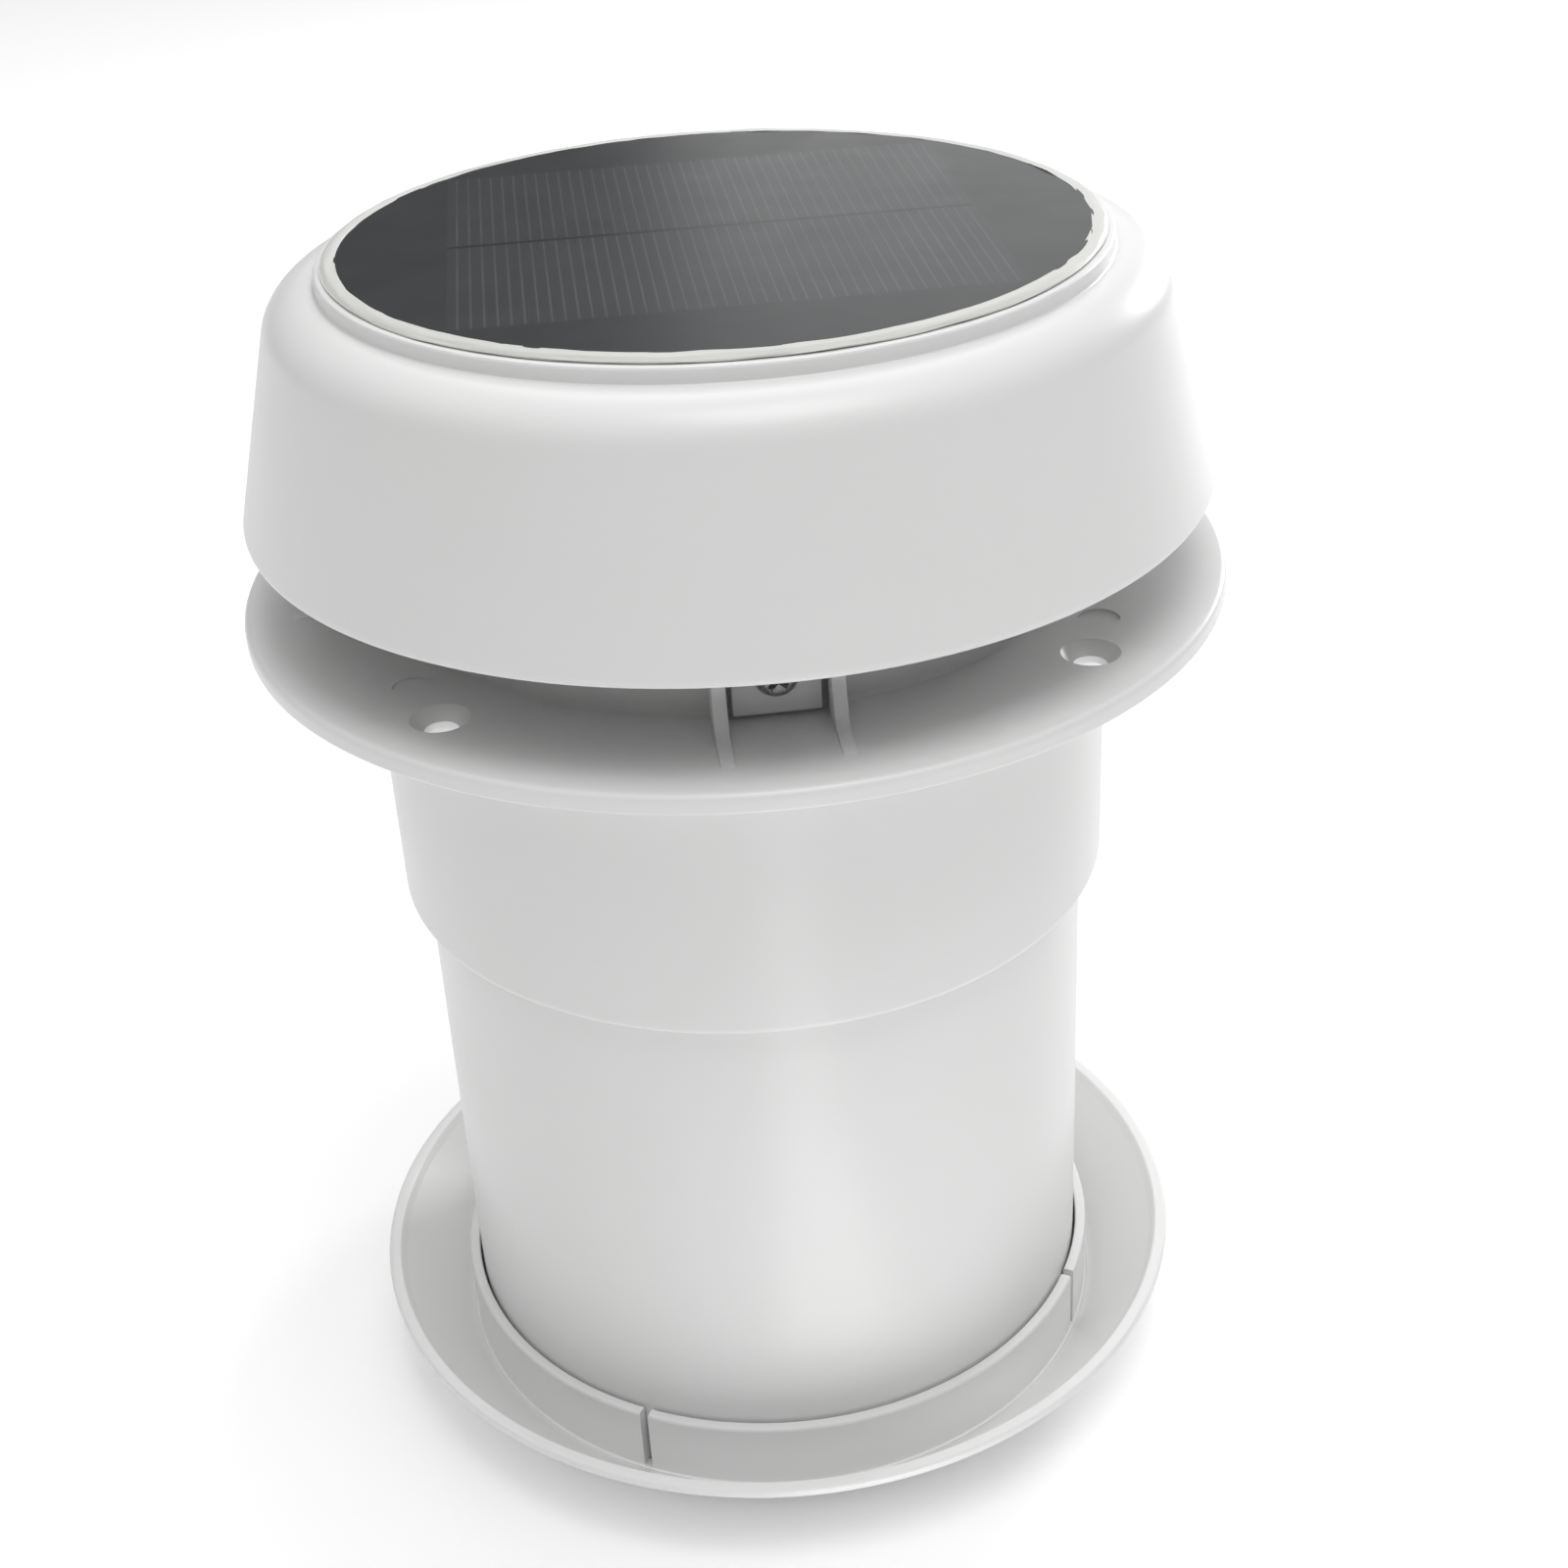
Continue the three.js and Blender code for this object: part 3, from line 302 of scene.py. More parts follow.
# Injection-moulded ABS from a polished tool: a clean cold white with a soft gloss.
white_abs = moulded_plastic(
    "injection_moulded_white_abs", "#e9e9e9", "#e7e7e6", "#f0f0ef", 0.32, 1.54, 0.02,
)

base = turn("base_moulding", [
    (duct_bore, duct_end, 0.3), (duct_r, duct_end, 1.2), (duct_r, deck_z, 1.2), (flange_r, deck_z, 0.4),
    (flange_r, flange_top, 1.2), (coaming_r, flange_top, 0.6), (coaming_r, coaming_top, 0.5),
    (throat_r, coaming_top, 0.5), (throat_r, ledge_z, 0.3), (duct_bore, ledge_z, 0.3),
], 192)

# Each post is a pair of ribs, hollowed to a long foot. The cap's leg drops between them.
leg_width, rib_thickness, side_gap = 13.3, 2.2, 0.95
rib_offset = leg_width / 2 + side_gap + rib_thickness / 2
rib_face, rib_foot, rib_top = leg_face + 3.1, leg_face + 13.0, coaming_top - 0.8
ribs = slab("ribs", [
    (coaming_r - 1, flange_top - 0.5), (rib_foot, flange_top - 0.5), (rib_foot, flange_top + 0.3),
    (rib_face + 2.6, flange_top + 0.9, 3.0), (rib_face, flange_top + 6.5, 5.0),
    (rib_face, rib_top, 0.8), (coaming_r - 1, rib_top),
], rib_thickness, 0.35)
bpy.ops.object.mode_set(mode="EDIT")
bpy.ops.mesh.select_all(action="SELECT")
bpy.ops.transform.translate(value=(0, -rib_offset * MM, 0))
bpy.ops.mesh.duplicate()
bpy.ops.transform.translate(value=(0, 2 * rib_offset * MM, 0))
bpy.ops.object.mode_set(mode="OBJECT")
combine(base, spin_copies(ribs, 4), "UNION")

# Countersunk screw holes halfway between the posts.
hole_circle = (coaming_r + flange_r) / 2
sinks = turn("screw_holes", [
    (0, deck_z - 1), (2.6, deck_z - 1), (2.6, flange_top - 2.0), (4.6, flange_top),
    (4.6, flange_top + 1), (0, flange_top + 1),
], 48, (hole_circle, 0))
combine(base, spin_copies(sinks, 4, 45), "DIFFERENCE")

# Ejector marks: shallow discs beside the holes, on the side towards the left and right posts.
for start in (45 - 9.6, 135 + 9.6):
    marks = turn("ejector_marks", [
        (0, flange_top - 0.35), (3.3, flange_top - 0.35), (3.3, flange_top + 1), (0, flange_top + 1),
    ], 48, (hole_circle - 4.2, 0))
    combine(base, spin_copies(marks, 2, start), "DIFFERENCE")

# Pilot holes of the cap screws, through the coaming at each post.
screw_z = flange_top + 0.574 * (coaming_top - flange_top)


def radial_hole(name, radius, inner, outer):
    """A rod along +X at the cap screws' height, to cut a hole with."""
    bpy.ops.object.select_all(action="DESELECT")
    bpy.ops.mesh.primitive_cylinder_add(vertices=32, radius=radius * MM, depth=(outer - inner) * MM)
    rod = bpy.context.object
    rod.name = name
    rod.matrix_world = (
        Matrix.Translation(((inner + outer) / 2 * MM, 0, screw_z * MM)) @ Matrix.Rotation(math.pi / 2, 4, "Y")
    )
    bpy.ops.object.transform_apply()
    return rod


combine(base, spin_copies(radial_hole("pilot_holes", 1.9, throat_r - 1, coaming_r + 1), 4), "DIFFERENCE")
place(base, "housing", "white_abs", white_abs, "base_flange")

# ---------------------------------------------------------------- insect screen
# A grey wire cloth across the duct's mouth, under a white ABS ring with two crossed bars that clips in
# below the throat's ledge. The wires of one layer lie across those of the other.
cloth_low, cloth_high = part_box("insect_screen")
ring_low, ring_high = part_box("screen_frame")
frame_z, frame_top, frame_r = ring_low.z / MM, ring_high.z / MM, ring_high.x / MM
screen_ring = turn("screen_ring", [
    (frame_r - 3, frame_z, 0.3), (frame_r, frame_z, 0.3), (frame_r, frame_top, 0.3),
    (frame_r - 3, frame_top, 0.3),
])
for angle in (45, 135):
    bar = slab("screen_bar", [
        (1.5 - frame_r, frame_z), (frame_r - 1.5, frame_z), (frame_r - 1.5, frame_z + 1.44),
        (1.5 - frame_r, frame_z + 1.44),
    ], 2.4, 0.3)
    combine(screen_ring, spin_copies(bar, 1, angle), "UNION")
place(screen_ring, "housing", "white_abs", white_abs, "screen_frame")


def metal(name, colour, shade, roughness, grain, across=1.0, pits=0.05):
    """A bare or plated metal: fine machining grain of one size in millimetres, clouded gloss and pits."""
    material = bpy.data.materials.new(name)
    material.use_nodes = True
    tree = material.node_tree
    shader = tree.nodes["Principled BSDF"]
    shader.inputs["Metallic"].default_value = 1.0
    where = add_node(tree, "TexCoord").outputs["Object"]
    cloud = add_node(tree, "TexNoise", {"Vector": where, "Scale": 1 / (3 * MM), "Detail": 4.0})
    tint = add_node(
        tree, "Mix",
        {"Factor": cloud.outputs["Fac"], "A": linear(colour), "B": linear(shade)}, data_type="RGBA",
    )
    tree.links.new(tint.outputs["Result"], shader.inputs["Base Color"])
    laid = add_node(tree, "Mapping", {"Vector": where, "Scale": (1.0, 1.0, across)})
    lines = add_node(
        tree, "TexNoise", {"Vector": laid.outputs["Vector"], "Scale": 1 / (grain * MM), "Detail": 3.0},
    )
    gloss = add_node(
        tree, "MapRange",
        {"Value": lines.outputs["Fac"], "From Min": 0.3, "From Max": 0.7,
         "To Min": roughness - 0.06, "To Max": roughness + 0.1},
    )
    tree.links.new(gloss.outputs["Result"], shader.inputs["Roughness"])
    bump = add_node(
        tree, "Bump", {"Height": lines.outputs["Fac"], "Strength": pits, "Distance": 0.1 * MM},
    )
    tree.links.new(bump.outputs["Normal"], shader.inputs["Normal"])
    return material


# Galvanised wire, drawn and woven at 1.6 mm, its ends gripped in a pressed rim.
screen_wire = metal("galvanised_screen_wire", "#a4a7a9", "#84888a", 0.4, 0.2)
wire_r, wire_pitch = 0.12, 1.6
cloth_r = cloth_high.x / MM
cloth_middle = (cloth_low.z + cloth_high.z) / 2 / MM
cloth = turn("insect_cloth", [
    (cloth_r - 0.9, cloth_middle - 0.24), (cloth_r, cloth_middle - 0.24), (cloth_r, cloth_middle + 0.24),
    (cloth_r - 0.9, cloth_middle + 0.24),
], 96)
bpy.ops.object.mode_set(mode="EDIT")
wires_each_side = int((cloth_r - 1) / wire_pitch)
for step in range(-wires_each_side, wires_each_side + 1):
    offset = step * wire_pitch
    length = 2 * math.sqrt((cloth_r - 0.4) ** 2 - offset ** 2)
    for across_x in (True, False):
        if across_x:
            spot = (0, offset * MM, (cloth_middle + wire_r) * MM)
            facing = (0, math.pi / 2, 0)
        else:
            spot = (offset * MM, 0, (cloth_middle - wire_r) * MM)
            facing = (math.pi / 2, 0, 0)
        bpy.ops.mesh.primitive_cylinder_add(
            vertices=6, radius=wire_r * MM, depth=length * MM, location=spot, rotation=facing,
        )
bpy.ops.object.mode_set(mode="OBJECT")
bpy.ops.object.shade_smooth_by_angle(angle=math.radians(70))
place(cloth, "housing", "screen_mesh", screen_wire, "insect_screen")

# ---------------------------------------------------------------- telescopic sleeve
# A plain white ABS tube that slides in the duct to suit the roof's thickness. It is moulded with a lead-in
# at its upper end and stays where it is put, by friction.
sleeve_low, sleeve_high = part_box("telescopic_sleeve")
sleeve_r, sleeve_foot, sleeve_top = sleeve_high.x / MM, sleeve_low.z / MM, sleeve_high.z / MM
sleeve_bore = sleeve_r - 2.45
sleeve = turn("sleeve_tube", [
    (sleeve_bore, sleeve_foot, 0.4), (sleeve_r, sleeve_foot, 0.5), (sleeve_r, sleeve_top, 0.8),
    (sleeve_bore, sleeve_top, 0.4),
], 192)
place(sleeve, "sleeve", "white_abs", white_abs, "telescopic_sleeve")

# ---------------------------------------------------------------- trim ring
# The white ABS ceiling ring. A slotted collar grips the tube, and from its foot a thin flare rises to the
# rim that covers the cut edge of the ceiling.
trim_low, trim_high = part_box("trim_ring")
trim_r, rim_top = trim_high.x / MM, trim_high.z / MM
trim_bore, collar_r, collar_top = sleeve_r + 0.45, sleeve_r + 2.45, 15.5
trim = turn("ceiling_ring", [
    (trim_bore, 0, 0.3), (trim_bore + 2.9, 0, 0.8), (trim_bore + 4.0, 0.6, 1.6),
    (trim_r - 1.7, rim_top - 2.3, 0.8), (trim_r, rim_top - 1.5, 0.5), (trim_r, rim_top, 0.6),
    (trim_r - 2.2, rim_top, 0.5), (trim_r - 3.3, rim_top - 1.5, 0.8), (collar_r + 1.7, 3.5, 0.8),
    (collar_r + 0.7, 2.6, 0.4), (collar_r, 2.6, 0.4), (collar_r, collar_top, 0.5),
    (trim_bore, collar_top, 0.4),
], 192)
slots = slab("collar_slots", [
    (trim_bore - 1, collar_top - 12.8), (collar_r + 0.5, collar_top - 12.8), (collar_r + 0.5, collar_top + 1),
    (trim_bore - 1, collar_top + 1),
], 1.6)
combine(trim, spin_copies(slots, 4, 60), "DIFFERENCE")
place(trim, "trim", "white_abs", white_abs, "trim_ring")

# ---------------------------------------------------------------- cap cover
# The white ABS cap: a drawn-in side, a rounded shoulder and a low plinth that the panel is bedded in. Its
# four legs and the three bosses for the motor holder are moulded inside it.
cap_low, cap_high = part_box("cap_cover")
cap_r, plinth_top = cap_high.x / MM, cap_high.z / MM
rim_z = flange_top + 15.0
panel_low, panel_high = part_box("panel_cover")
panel_r, panel_top = panel_high.x / MM, panel_high.z / MM
recess_r = panel_r + 0.3
plinth_r = recess_r + 2.8
roof_top, roof_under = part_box("panel_backing")[0].z / MM - 0.05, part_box("panel_backing")[0].z / MM - 2.45
shoulder_top = plinth_top - 2.6
lean = math.tan(math.radians(14.2))
cap = turn("cap_shell", [
    (0, roof_top), (recess_r, roof_top, 0.3), (recess_r, plinth_top, 0.4), (plinth_r, plinth_top, 0.6),
    (plinth_r, shoulder_top, 0.5), (cap_r - lean * (shoulder_top - rim_z), shoulder_top, 7.9),
    (cap_r, rim_z, 1.1), (cap_r - 2.48, rim_z, 0.3), (cap_r - 2.48 - lean * (roof_under - rim_z), roof_under, 5.5),
    (0, roof_under),
], 192)
leg_r = coaming_r + 0.2
leg_foot = flange_top + 0.7
legs = slab("legs", [
    (leg_r, leg_foot, 0.3), (leg_face, leg_foot, 0.5), (leg_face, roof_under + 1.2),
    (leg_r, roof_under + 1.2),
], leg_width, 0.4)
combine(cap, spin_copies(legs, 4), "UNION")
webs = slab("webs", [
    (leg_r + 0.5, coaming_top + 2.5), (leg_r + 0.5, roof_under + 1.2), (leg_r - 8, roof_under + 1.2),
    (leg_r - 5, roof_under - 5), (leg_r - 2.5, coaming_top + 7.5),
], 2.2, 0.3)
combine(cap, spin_copies(webs, 4), "UNION")
combine(cap, spin_copies(radial_hole("leg_holes", 1.85, leg_r - 2, leg_face + 2), 4), "DIFFERENCE")
holder_low, holder_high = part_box("motor_holder")
holder_top, holder_foot = holder_high.z / MM, holder_low.z / MM
holder_circle = 19.33
bosses = turn("holder_bosses", [
    (1.4, holder_top + 0.05, 0.2), (3.35, holder_top + 0.05, 0.3), (3.6, roof_under + 1.2),
    (1.4, roof_under + 1.2),
], 40, (holder_circle, 0))
combine(cap, spin_copies(bosses, 3, 90), "UNION")
lead_hole = turn("lead_hole", [
    (0, roof_under - 3), (4.05, roof_under - 3), (4.05, roof_top + 1), (0, roof_top + 1),
], 48)
combine(cap, lead_hole, "DIFFERENCE")
place(cap, "housing", "white_abs", white_abs, "cap_cover")

# ---------------------------------------------------------------- motor
# A small brushed motor: a drawn, zinc-plated steel can with a nose round its lower bearing, two ferrite
# magnets, a wound three-pole armature and a black nylon end cap with the terminals.
can_low, can_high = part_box("motor_can")
nose_z, can_top, can_r = can_low.z / MM, can_high.z / MM, can_high.x / MM
can_foot = nose_z + 2.1
can_bore = can_r - 0.8
zinc_plate = metal("zinc_plated_steel", "#b0b2b3", "#95989a", 0.3, 0.25, 0.1)
can = turn("motor_shell", [
    (2.6, nose_z, 0.1), (4.1, nose_z, 0.3), (4.1, can_foot, 0.3), (can_r, can_foot, 1.2), (can_r, can_top, 0.2),
    (can_bore, can_top, 0.2), (can_bore, can_foot + 0.8, 0.6), (2.6, can_foot + 0.8, 0.1),
], 96)
motor_screw_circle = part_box("motor_screw_right")[0].x / MM + 2.2
tapped = turn("tapped_holes", [
    (0, nose_z - 1), (1.25, nose_z - 1), (1.25, can_foot + 2), (0, can_foot + 2),
], 24, (motor_screw_circle, 0))
combine(can, spin_copies(tapped, 2), "DIFFERENCE")
place(can, "housing", "zinc_steel", zinc_plate, "motor_can")
black_nylon = moulded_plastic(
    "glass_filled_black_nylon", "#202224", "#191b1c", "#3a3c3e", 0.45, 1.53, 0.06,
)
sintered_bronze = metal("sintered_bronze", "#a98a58", "#86693f", 0.45, 0.12, pits=0.3)
ferrite_magnet = moulded_plastic("ferrite_magnet", "#34363a", "#2b2d30", "#4a4c50", 0.6, 1.8, 0.12)
enamelled_winding = metal("enamelled_copper_winding", "#93562f", "#5f3a25", 0.35, 0.3, 0.08, 0.4)
stainless = metal("stainless_steel", "#bfc0c1", "#a6a8aa", 0.24, 0.15)
black_rubber = moulded_plastic("black_pvc_insulation", "#1d1e1f", "#171819", "#333435", 0.5, 1.5, 0.08)
red_insulation = moulded_plastic("red_pvc_insulation", "#9c2a20", "#86221a", "#b4463c", 0.42, 1.5, 0.06)
for node, material in (
    ("motor_end_cap", black_nylon), ("motor_armature", enamelled_winding), ("motor_shaft", stainless),
    ("motor_magnet_right", ferrite_magnet), ("motor_magnet_left", ferrite_magnet),
    ("motor_bearing_lower", sintered_bronze), ("motor_bearing_upper", sintered_bronze),
    ("impeller_bush", sintered_bronze), ("lead_grommet", black_rubber), ("lead_black", black_rubber),
    ("lead_red", red_insulation), ("motor_screw_right", zinc_plate), ("motor_screw_left", zinc_plate),
    ("holder_screw_1", zinc_plate), ("holder_screw_2", zinc_plate), ("holder_screw_3", zinc_plate),
):
    metal_or_plastic = frame["nodes"][node].data.materials
    metal_or_plastic.clear()
    metal_or_plastic.append(material)

# ---------------------------------------------------------------- motor holder
# The white ABS cup that hangs the motor under the cap. Three gussets stiffen its flange, between the
# screws that go up into the cap's bosses.
holder_r, holder_bore, lug_r, flange_depth = 14.65, 12.45, 24.0, 2.3
cup = turn("motor_cup", [
    (4.4, holder_foot, 0.2), (holder_r, holder_foot, 0.9), (holder_r, holder_top - flange_depth, 1.0),
    (lug_r, holder_top - flange_depth, 0.4), (lug_r, holder_top, 0.4), (holder_bore, holder_top, 0.3),
    (holder_bore, holder_foot + 2.1, 0.3), (4.4, holder_foot + 2.1, 0.2),
], 96)
gussets = slab("gussets", [
    (holder_r - 0.5, holder_top - 2), (holder_r - 0.5, holder_top - 16.3), (holder_r + 0.4, holder_top - 16.3),
    (lug_r - 1.2, holder_top - 2),
], 1.8, 0.25)
combine(cup, spin_copies(gussets, 3, 30), "UNION")
lug_holes = turn("lug_holes", [
    (0, holder_top - 5), (1.4, holder_top - 5), (1.4, holder_top + 1), (0, holder_top + 1),
], 32, (holder_circle, 0))
combine(cup, spin_copies(lug_holes, 3, 90), "DIFFERENCE")
motor_holes = turn("motor_holes", [
    (0, holder_foot - 1), (1.3, holder_foot - 1), (1.3, holder_foot + 4), (0, holder_foot + 4),
], 32, (motor_screw_circle, 0))
combine(cup, spin_copies(motor_holes, 2), "DIFFERENCE")
place(cup, "housing", "white_abs", white_abs, "motor_holder")

# ---------------------------------------------------------------- impeller
# Seven blades moulded in black nylon with their hub. They twist and widen from the hub to the tip, and
# a bronze bush is pressed into the hub to take the shaft.
hub_low, hub_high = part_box("impeller_bush")
hub_z, bush_top = hub_low.z / MM, hub_high.z / MM
hub_top = bush_top + 1.5
hub_r, hub_bore, blade_tip = 15.0, 13.2, 52.0
bush_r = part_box("impeller_bush")[1].x / MM + 0.05
impeller = turn("impeller_moulding", [
    (bush_r, hub_z, 0.2), (hub_r, hub_z, 2.4), (hub_r, hub_top, 0.3), (hub_bore, hub_top, 0.3),
    (hub_bore, hub_z + 2.2, 0.8), (bush_r + 1.8, hub_z + 2.2, 0.6), (bush_r + 1.8, bush_top, 0.3),
    (bush_r, bush_top, 0.2),
], 96)
for blade_number in range(7):
    bpy.ops.object.select_all(action="DESELECT")
    bpy.ops.mesh.primitive_cube_add(size=MM)
    blade = bpy.context.object
    blade.name = "blade"
    bpy.ops.object.mode_set(mode="EDIT")
    bpy.ops.mesh.select_all(action="SELECT")
    bpy.ops.transform.resize(value=(blade_tip - hub_r + 1, 13.0, 1.5))
    bpy.ops.mesh.select_mode(type="EDGE")
    choose(blade, lambda at, edge: abs(edge.verts[0].co.x - edge.verts[1].co.x) > 5 * MM, "EDGE")
    bpy.ops.mesh.subdivide(number_cuts=14)
    choose(blade, lambda at, edge: abs(edge.verts[0].co.y - edge.verts[1].co.y) > 5 * MM, "EDGE")
    bpy.ops.mesh.subdivide(number_cuts=10)
    outline_mesh = bmesh.from_edit_mesh(blade.data)
    for vertex in outline_mesh.verts:
        along = vertex.co.x / MM / (blade_tip - hub_r + 1) + 0.5
        share = vertex.co.y / MM / 13.0
        radius = hub_r - 1 + along * (blade_tip - hub_r + 1)
        chord = 13.0 + 14.0 * along
        # The tip's corners are rounded: the chord closes towards the ends of the last few millimetres.
        chord = chord * (1 - 0.16 * max(0.0, along * 6 - 5) ** 2)
        pitch = math.radians(42 - 21 * along)
        across = share * chord
        away = 0.08 * chord * (1 - 4 * share ** 2) + vertex.co.z / MM * (1 - 1.2 * share ** 2)
        arc_length = across * math.cos(pitch) - away * math.sin(pitch)
        lift = across * math.sin(pitch) + away * math.cos(pitch)
        angle = arc_length / radius + blade_number * 2 * math.pi / 7
        vertex.co.x = radius * math.cos(angle) * MM
        vertex.co.y = radius * math.sin(angle) * MM
        vertex.co.z = ((hub_z + hub_top) / 2 + lift) * MM
    bmesh.update_edit_mesh(blade.data)
    settle(blade, 40)
    combine(impeller, blade, "UNION")
place(impeller, "fan", "black_nylon", black_nylon, "impeller")

# ---------------------------------------------------------------- solar panel
# Two rows of thin silicon cells on a round black board, under a glossy laminate. The laminate is tinted
# nearly opaque, so that the cells' silver fingers show through only faintly.
panel_board = moulded_plastic("black_glass_epoxy_board", "#26282a", "#1f2123", "#3c3e40", 0.5, 1.55, 0.05)
silicon = metal("silicon_wafer", "#2a2d34", "#20232a", 0.3, 0.4)
for node, material in (
    ("panel_backing", panel_board), ("solar_cell_front", silicon), ("solar_cell_back", silicon),
):
    frame["nodes"][node].data.materials.clear()
    frame["nodes"][node].data.materials.append(material)
laminate = bpy.data.materials.new("tinted_panel_laminate")
laminate.use_nodes = True
tree = laminate.node_tree
shader = tree.nodes["Principled BSDF"]
shader.inputs["IOR"].default_value = 1.5
where = add_node(tree, "TexCoord").outputs["Object"]
spot = add_node(tree, "SeparateXYZ", {"Vector": where})


def sized(value, size, edge):
    """Fades from 1 to 0 as a coordinate passes a size in millimetres, over an edge of its own width."""
    away = add_node(tree, "Math", {0: value}, operation="ABSOLUTE")
    return add_node(
        tree, "MapRange",
        {"Value": away.outputs["Value"], "From Min": (size - edge) * MM, "From Max": size * MM,
         "To Min": 1.0, "To Max": 0.0},
    ).outputs["Result"]


def product(first, second):
    """Two values multiplied."""
    return add_node(tree, "Math", {0: first, 1: second}, operation="MULTIPLY").outputs["Value"]


finger_pitch = 1.9
finger_step = add_node(
    tree, "Math", {0: spot.outputs["X"], 1: finger_pitch / 2 * MM}, operation="PINGPONG",
)
finger = add_node(
    tree, "MapRange",
    {"Value": finger_step.outputs["Value"], "From Min": 0.22 * MM, "From Max": 0.02 * MM},
)
inside_cells = product(sized(spot.outputs["X"], 41.5, 0.1), sized(spot.outputs["Y"], 40.4, 0.1))
gap_line = sized(spot.outputs["Y"], 0.75, 0.35)
shown = add_node(tree, "TexNoise", {"Vector": where, "Scale": 1 / (22 * MM), "Detail": 2.0})
faded = add_node(
    tree, "MapRange",
    {"Value": shown.outputs["Fac"], "From Min": 0.3, "From Max": 0.7, "To Min": 0.45, "To Max": 1.0},
)
finger_seen = product(product(finger.outputs["Result"], inside_cells), faded.outputs["Result"])
cell_tone = add_node(
    tree, "Mix",
    {"Factor": inside_cells, "A": linear("#26292b"), "B": linear("#2e3133")}, data_type="RGBA",
)
fingered = add_node(
    tree, "Mix",
    {"Factor": finger_seen, "A": cell_tone.outputs["Result"], "B": linear("#4c5053")}, data_type="RGBA",
)
gapped = add_node(
    tree, "Mix",
    {"Factor": product(gap_line, inside_cells), "A": fingered.outputs["Result"], "B": linear("#121314")},
    data_type="RGBA",
)
tree.links.new(gapped.outputs["Result"], shader.inputs["Base Color"])
film_haze = add_node(tree, "TexNoise", {"Vector": where, "Scale": 1 / (9 * MM), "Detail": 5.0})
film_gloss = add_node(
    tree, "MapRange",
    {"Value": film_haze.outputs["Fac"], "From Min": 0.3, "From Max": 0.7, "To Min": 0.28, "To Max": 0.32},
)
tree.links.new(film_gloss.outputs["Result"], shader.inputs["Roughness"])
film_wave = add_node(tree, "TexNoise", {"Vector": where, "Scale": 1 / (6 * MM), "Detail": 2.0})
film_bump = add_node(
    tree, "Bump", {"Height": film_wave.outputs["Fac"], "Strength": 0.015, "Distance": 0.3 * MM},
)
tree.links.new(film_bump.outputs["Normal"], shader.inputs["Normal"])
panel = turn("panel_laminate_disc", [
    (0, panel_low.z / MM), (panel_r, panel_low.z / MM, 0.1), (panel_r, panel_top, 0.2), (0, panel_top),
], 192)
place(panel, "housing", "panel_laminate", laminate, "panel_cover")

# ---------------------------------------------------------------- sealant bead
# White silicone, gunned into the gap round the panel and wiped with a finger, so it is a little uneven
# and runs slightly on to the laminate.
bead_low, bead_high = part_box("sealant_bead")
bead_top, bead_r = bead_high.z / MM, bead_high.x / MM
silicone = moulded_plastic("white_silicone_sealant", "#dcdcd9", "#cfcfcb", "#e6e6e3", 0.38, 1.41, 0.25)
bead = turn("silicone_bead", [
    (bead_r - 2.6, bead_low.z / MM + 0.2), (bead_r, bead_low.z / MM - 0.2),
    (bead_r - 0.5, bead_low.z / MM + 0.35, 0.3), (bead_r - 1.3, bead_top - 0.15, 0.9),
    (bead_r - 3.0, panel_top + 0.03, 0.05),
], 192)
bpy.ops.object.mode_set(mode="EDIT")
bpy.ops.mesh.select_mode(type="VERT")
bpy.ops.mesh.select_all(action="SELECT")
bpy.ops.transform.vertex_random(offset=0.5 * MM, seed=3)
bpy.ops.mesh.vertices_smooth(factor=0.5, repeat=4)
settle(bead, 60)
place(bead, "housing", "sealant", silicone, "sealant_bead")

# ---------------------------------------------------------------- cap screws
# Four stainless pan-head screws with cross recesses. Each goes through a leg of the cap and cuts its own
# thread in the coaming.
for number, side in enumerate(("right", "back", "left", "front")):
    head_r, head_height, shank_r, screw_length = 3.45, 2.2, 1.75, 5.3
    threads = []
    for ridge in range(4):
        threads += [(shank_r, 0.6 + ridge * 1.0), (shank_r - 0.35, 1.1 + ridge * 1.0)]
    screw = turn("cap_screw", [
        (0, -head_height), (head_r * 0.62, -head_height, 0.5), (head_r, -head_height * 0.5, 1.6),
        (head_r, 0, 0.2), (shank_r, 0)] + threads + [(0.8, screw_length), (0, screw_length),
    ], 64)
    for recess_turn in (0, 90):
        recess = slab("cross_recess", [
            (-0.75, -0.5), (0.75, -0.5), (1.95, -head_height - 0.05), (1.95, -head_height - 1),
            (-1.95, -head_height - 1), (-1.95, -head_height - 0.05),
        ], 0.95)
        combine(screw, spin_copies(recess, 1, recess_turn), "DIFFERENCE")
    # It is turned to lie along its hole, head outwards, and carried round to its own post.
    screw.matrix_world = (
        Matrix.Rotation(math.radians(90 * number), 4, "Z")
        @ Matrix.Translation(((leg_face + 0.05) * MM, 0, screw_z * MM))
        @ Matrix.Rotation(-math.pi / 2, 4, "Y")
        @ Matrix.Rotation(math.radians(20 + 37 * number), 4, "Z")
    )
    only(screw)
    bpy.ops.object.transform_apply()
    screw.name = "cap_screw_in_post_" + side
    place(screw, "housing", "stainless", stainless, "cap_screw_" + side)

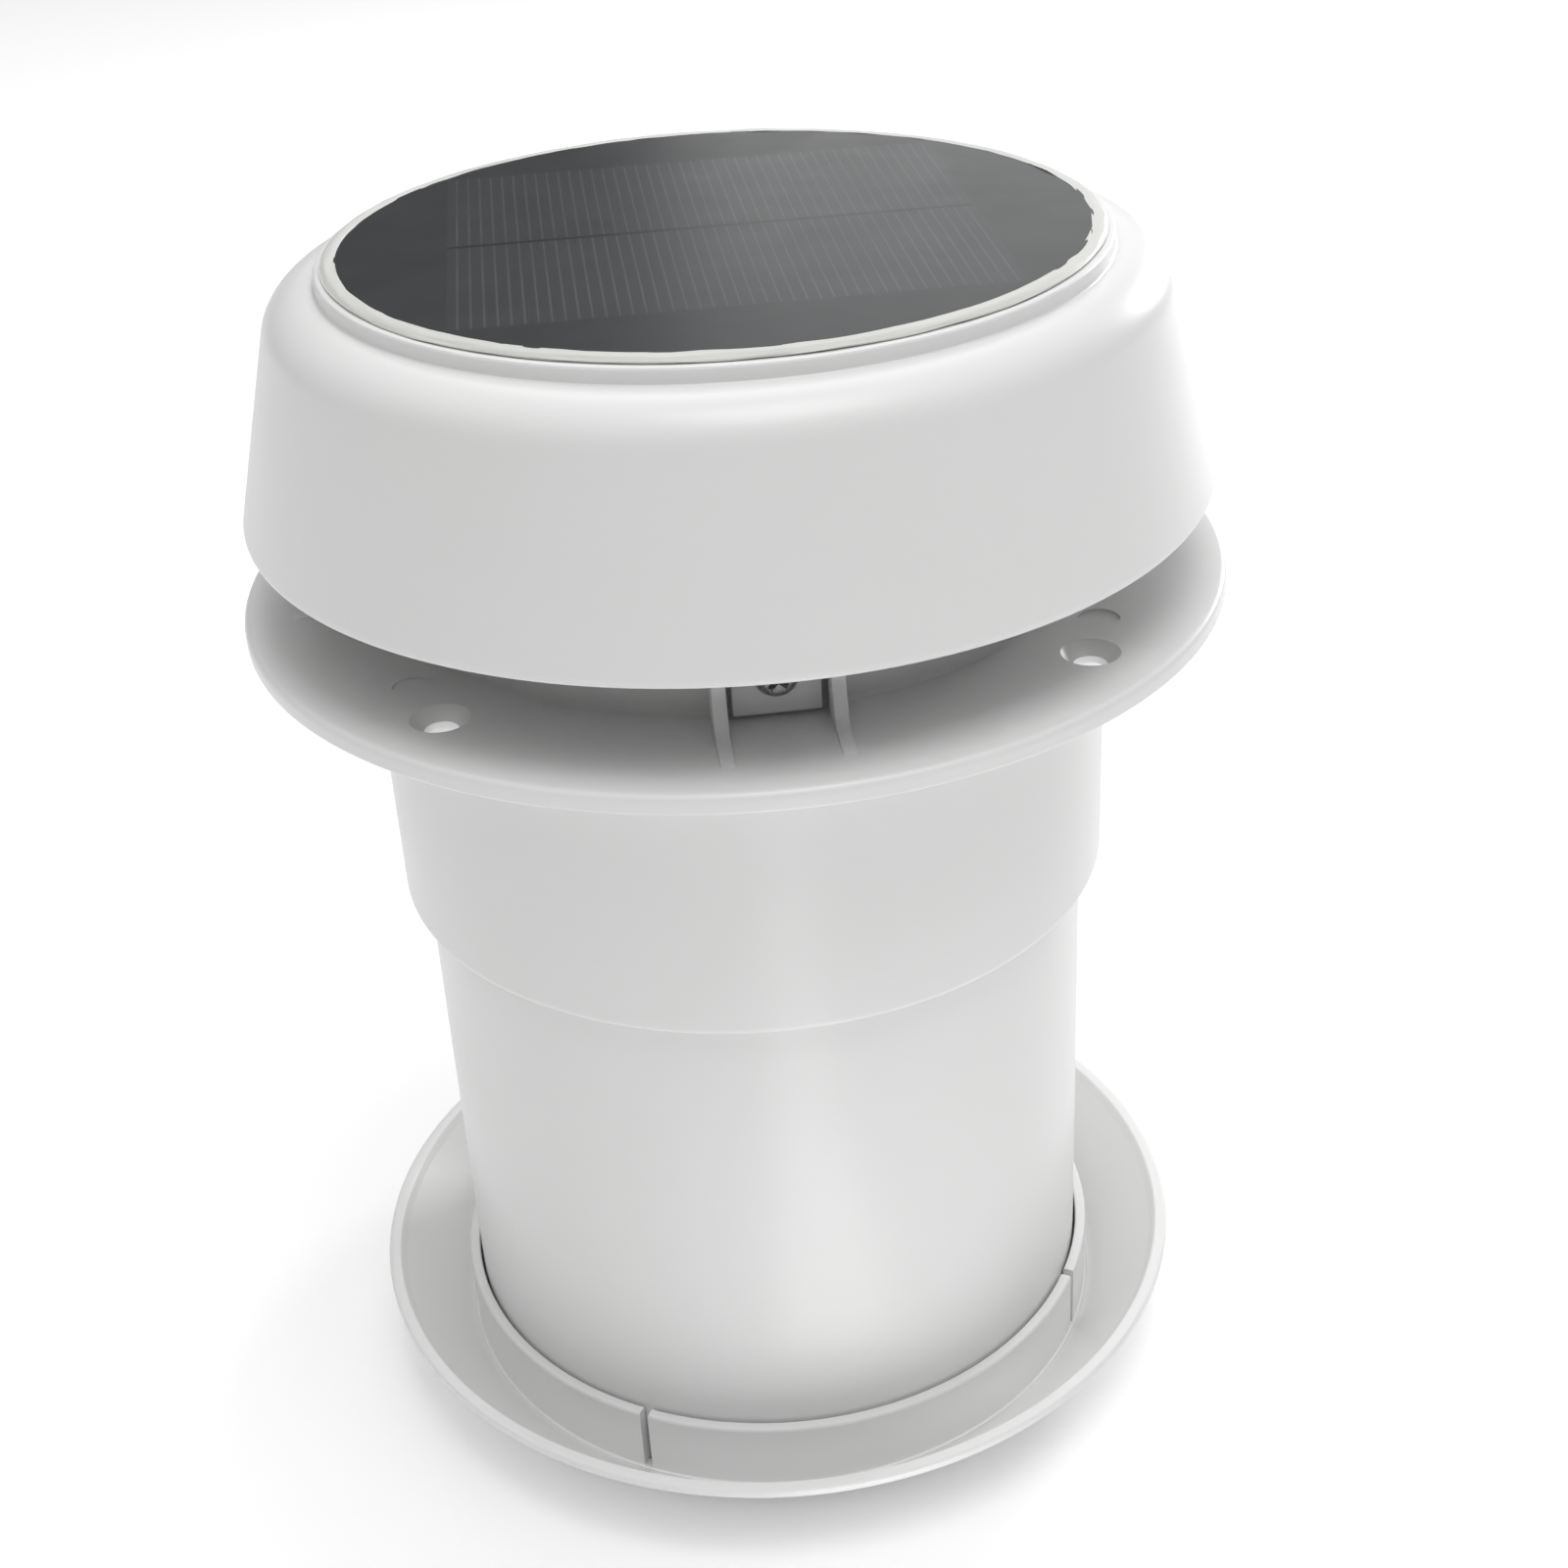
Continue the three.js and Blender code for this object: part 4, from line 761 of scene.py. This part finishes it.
# ---------------------------------------------------------------- floor and lights
# A pale floor and plain, soft light: a white room, a large soft light high on the right, low ones behind
# for the cap's shoulder and the panel, and a strip at the front for the tube.
bpy.ops.object.select_all(action="DESELECT")
bpy.ops.mesh.primitive_plane_add(size=8, location=(0, 0, 0))
floor = bpy.context.object
floor.name = "floor"
paper = bpy.data.materials.new("white_paper_sweep")
paper.use_nodes = True
paper.node_tree.nodes["Principled BSDF"].inputs["Base Color"].default_value = linear("#efefef")
paper.node_tree.nodes["Principled BSDF"].inputs["Roughness"].default_value = 0.9
# The sweep is lit from below as well, as a light table is, so that no shadow greys it.
paper.node_tree.nodes["Principled BSDF"].inputs["Emission Color"].default_value = (1.0, 1.0, 1.0, 1.0)
paper.node_tree.nodes["Principled BSDF"].inputs["Emission Strength"].default_value = 0.17
floor.data.materials.append(paper)
room = bpy.data.worlds.new("white_room")
room.use_nodes = True
room.node_tree.nodes["Background"].inputs["Color"].default_value = (1.0, 1.0, 1.0, 1.0)
# The room is dim at eye level, most of all at the back, and bright overhead.
upward = add_node(
    room.node_tree, "SeparateXYZ",
    {"Vector": add_node(room.node_tree, "TexCoord").outputs["Generated"]},
)
horizon = add_node(
    room.node_tree, "MapRange",
    {"Value": upward.outputs["Y"], "From Min": 0.6, "From Max": -0.6, "To Min": 0.11, "To Max": 0.18},
    interpolation_type="SMOOTHSTEP",
)
sky = add_node(
    room.node_tree, "MapRange",
    {"Value": upward.outputs["Z"], "From Min": 0.4, "From Max": 0.9, "To Min": horizon.outputs["Result"],
     "To Max": 1.15},
    interpolation_type="SMOOTHSTEP",
)
room.node_tree.links.new(sky.outputs["Result"], room.node_tree.nodes["Background"].inputs["Strength"])
bpy.context.scene.world = room


def soft_light(name, spot, aim, width, height, power):
    """A rectangular soft light at a spot, aimed at a point. Power is in watts."""
    data = bpy.data.lights.new(name, "AREA")
    data.shape = "RECTANGLE"
    data.size = width
    data.size_y = height
    data.energy = power
    lamp = bpy.data.objects.new(name, data)
    bpy.context.scene.collection.objects.link(lamp)
    towards = Vector(aim) - Vector(spot)
    lamp.matrix_world = Matrix.Translation(spot) @ towards.to_track_quat("-Z", "Y").to_matrix().to_4x4()
    lamp.visible_camera = False
    return lamp


soft_light("overhead", (0.2, -0.4, 1.7), (0, 0, 0.1), 0.8, 0.8, 7.0)
soft_light("right_key", (1.1, -0.45, 0.9), (0, 0, 0.12), 0.8, 0.8, 0.25)
soft_light("high_back", (0.1, 1.0, 1.35), (0, 0, 0.1), 0.9, 0.9, 3.5)
soft_light("back_right", (0.75, 0.75, 0.36), (0, 0, 0.2), 0.26, 0.19, 3.8)
soft_light("back", (0.5, 1.2, 0.5), (0, 0, 0.2), 0.9, 0.45, 1.15)
strip = soft_light("floor_strip", (0.015, -0.195, 0.002), (0.015, -0.195, 1.0), 0.05, 0.21, 0.055)
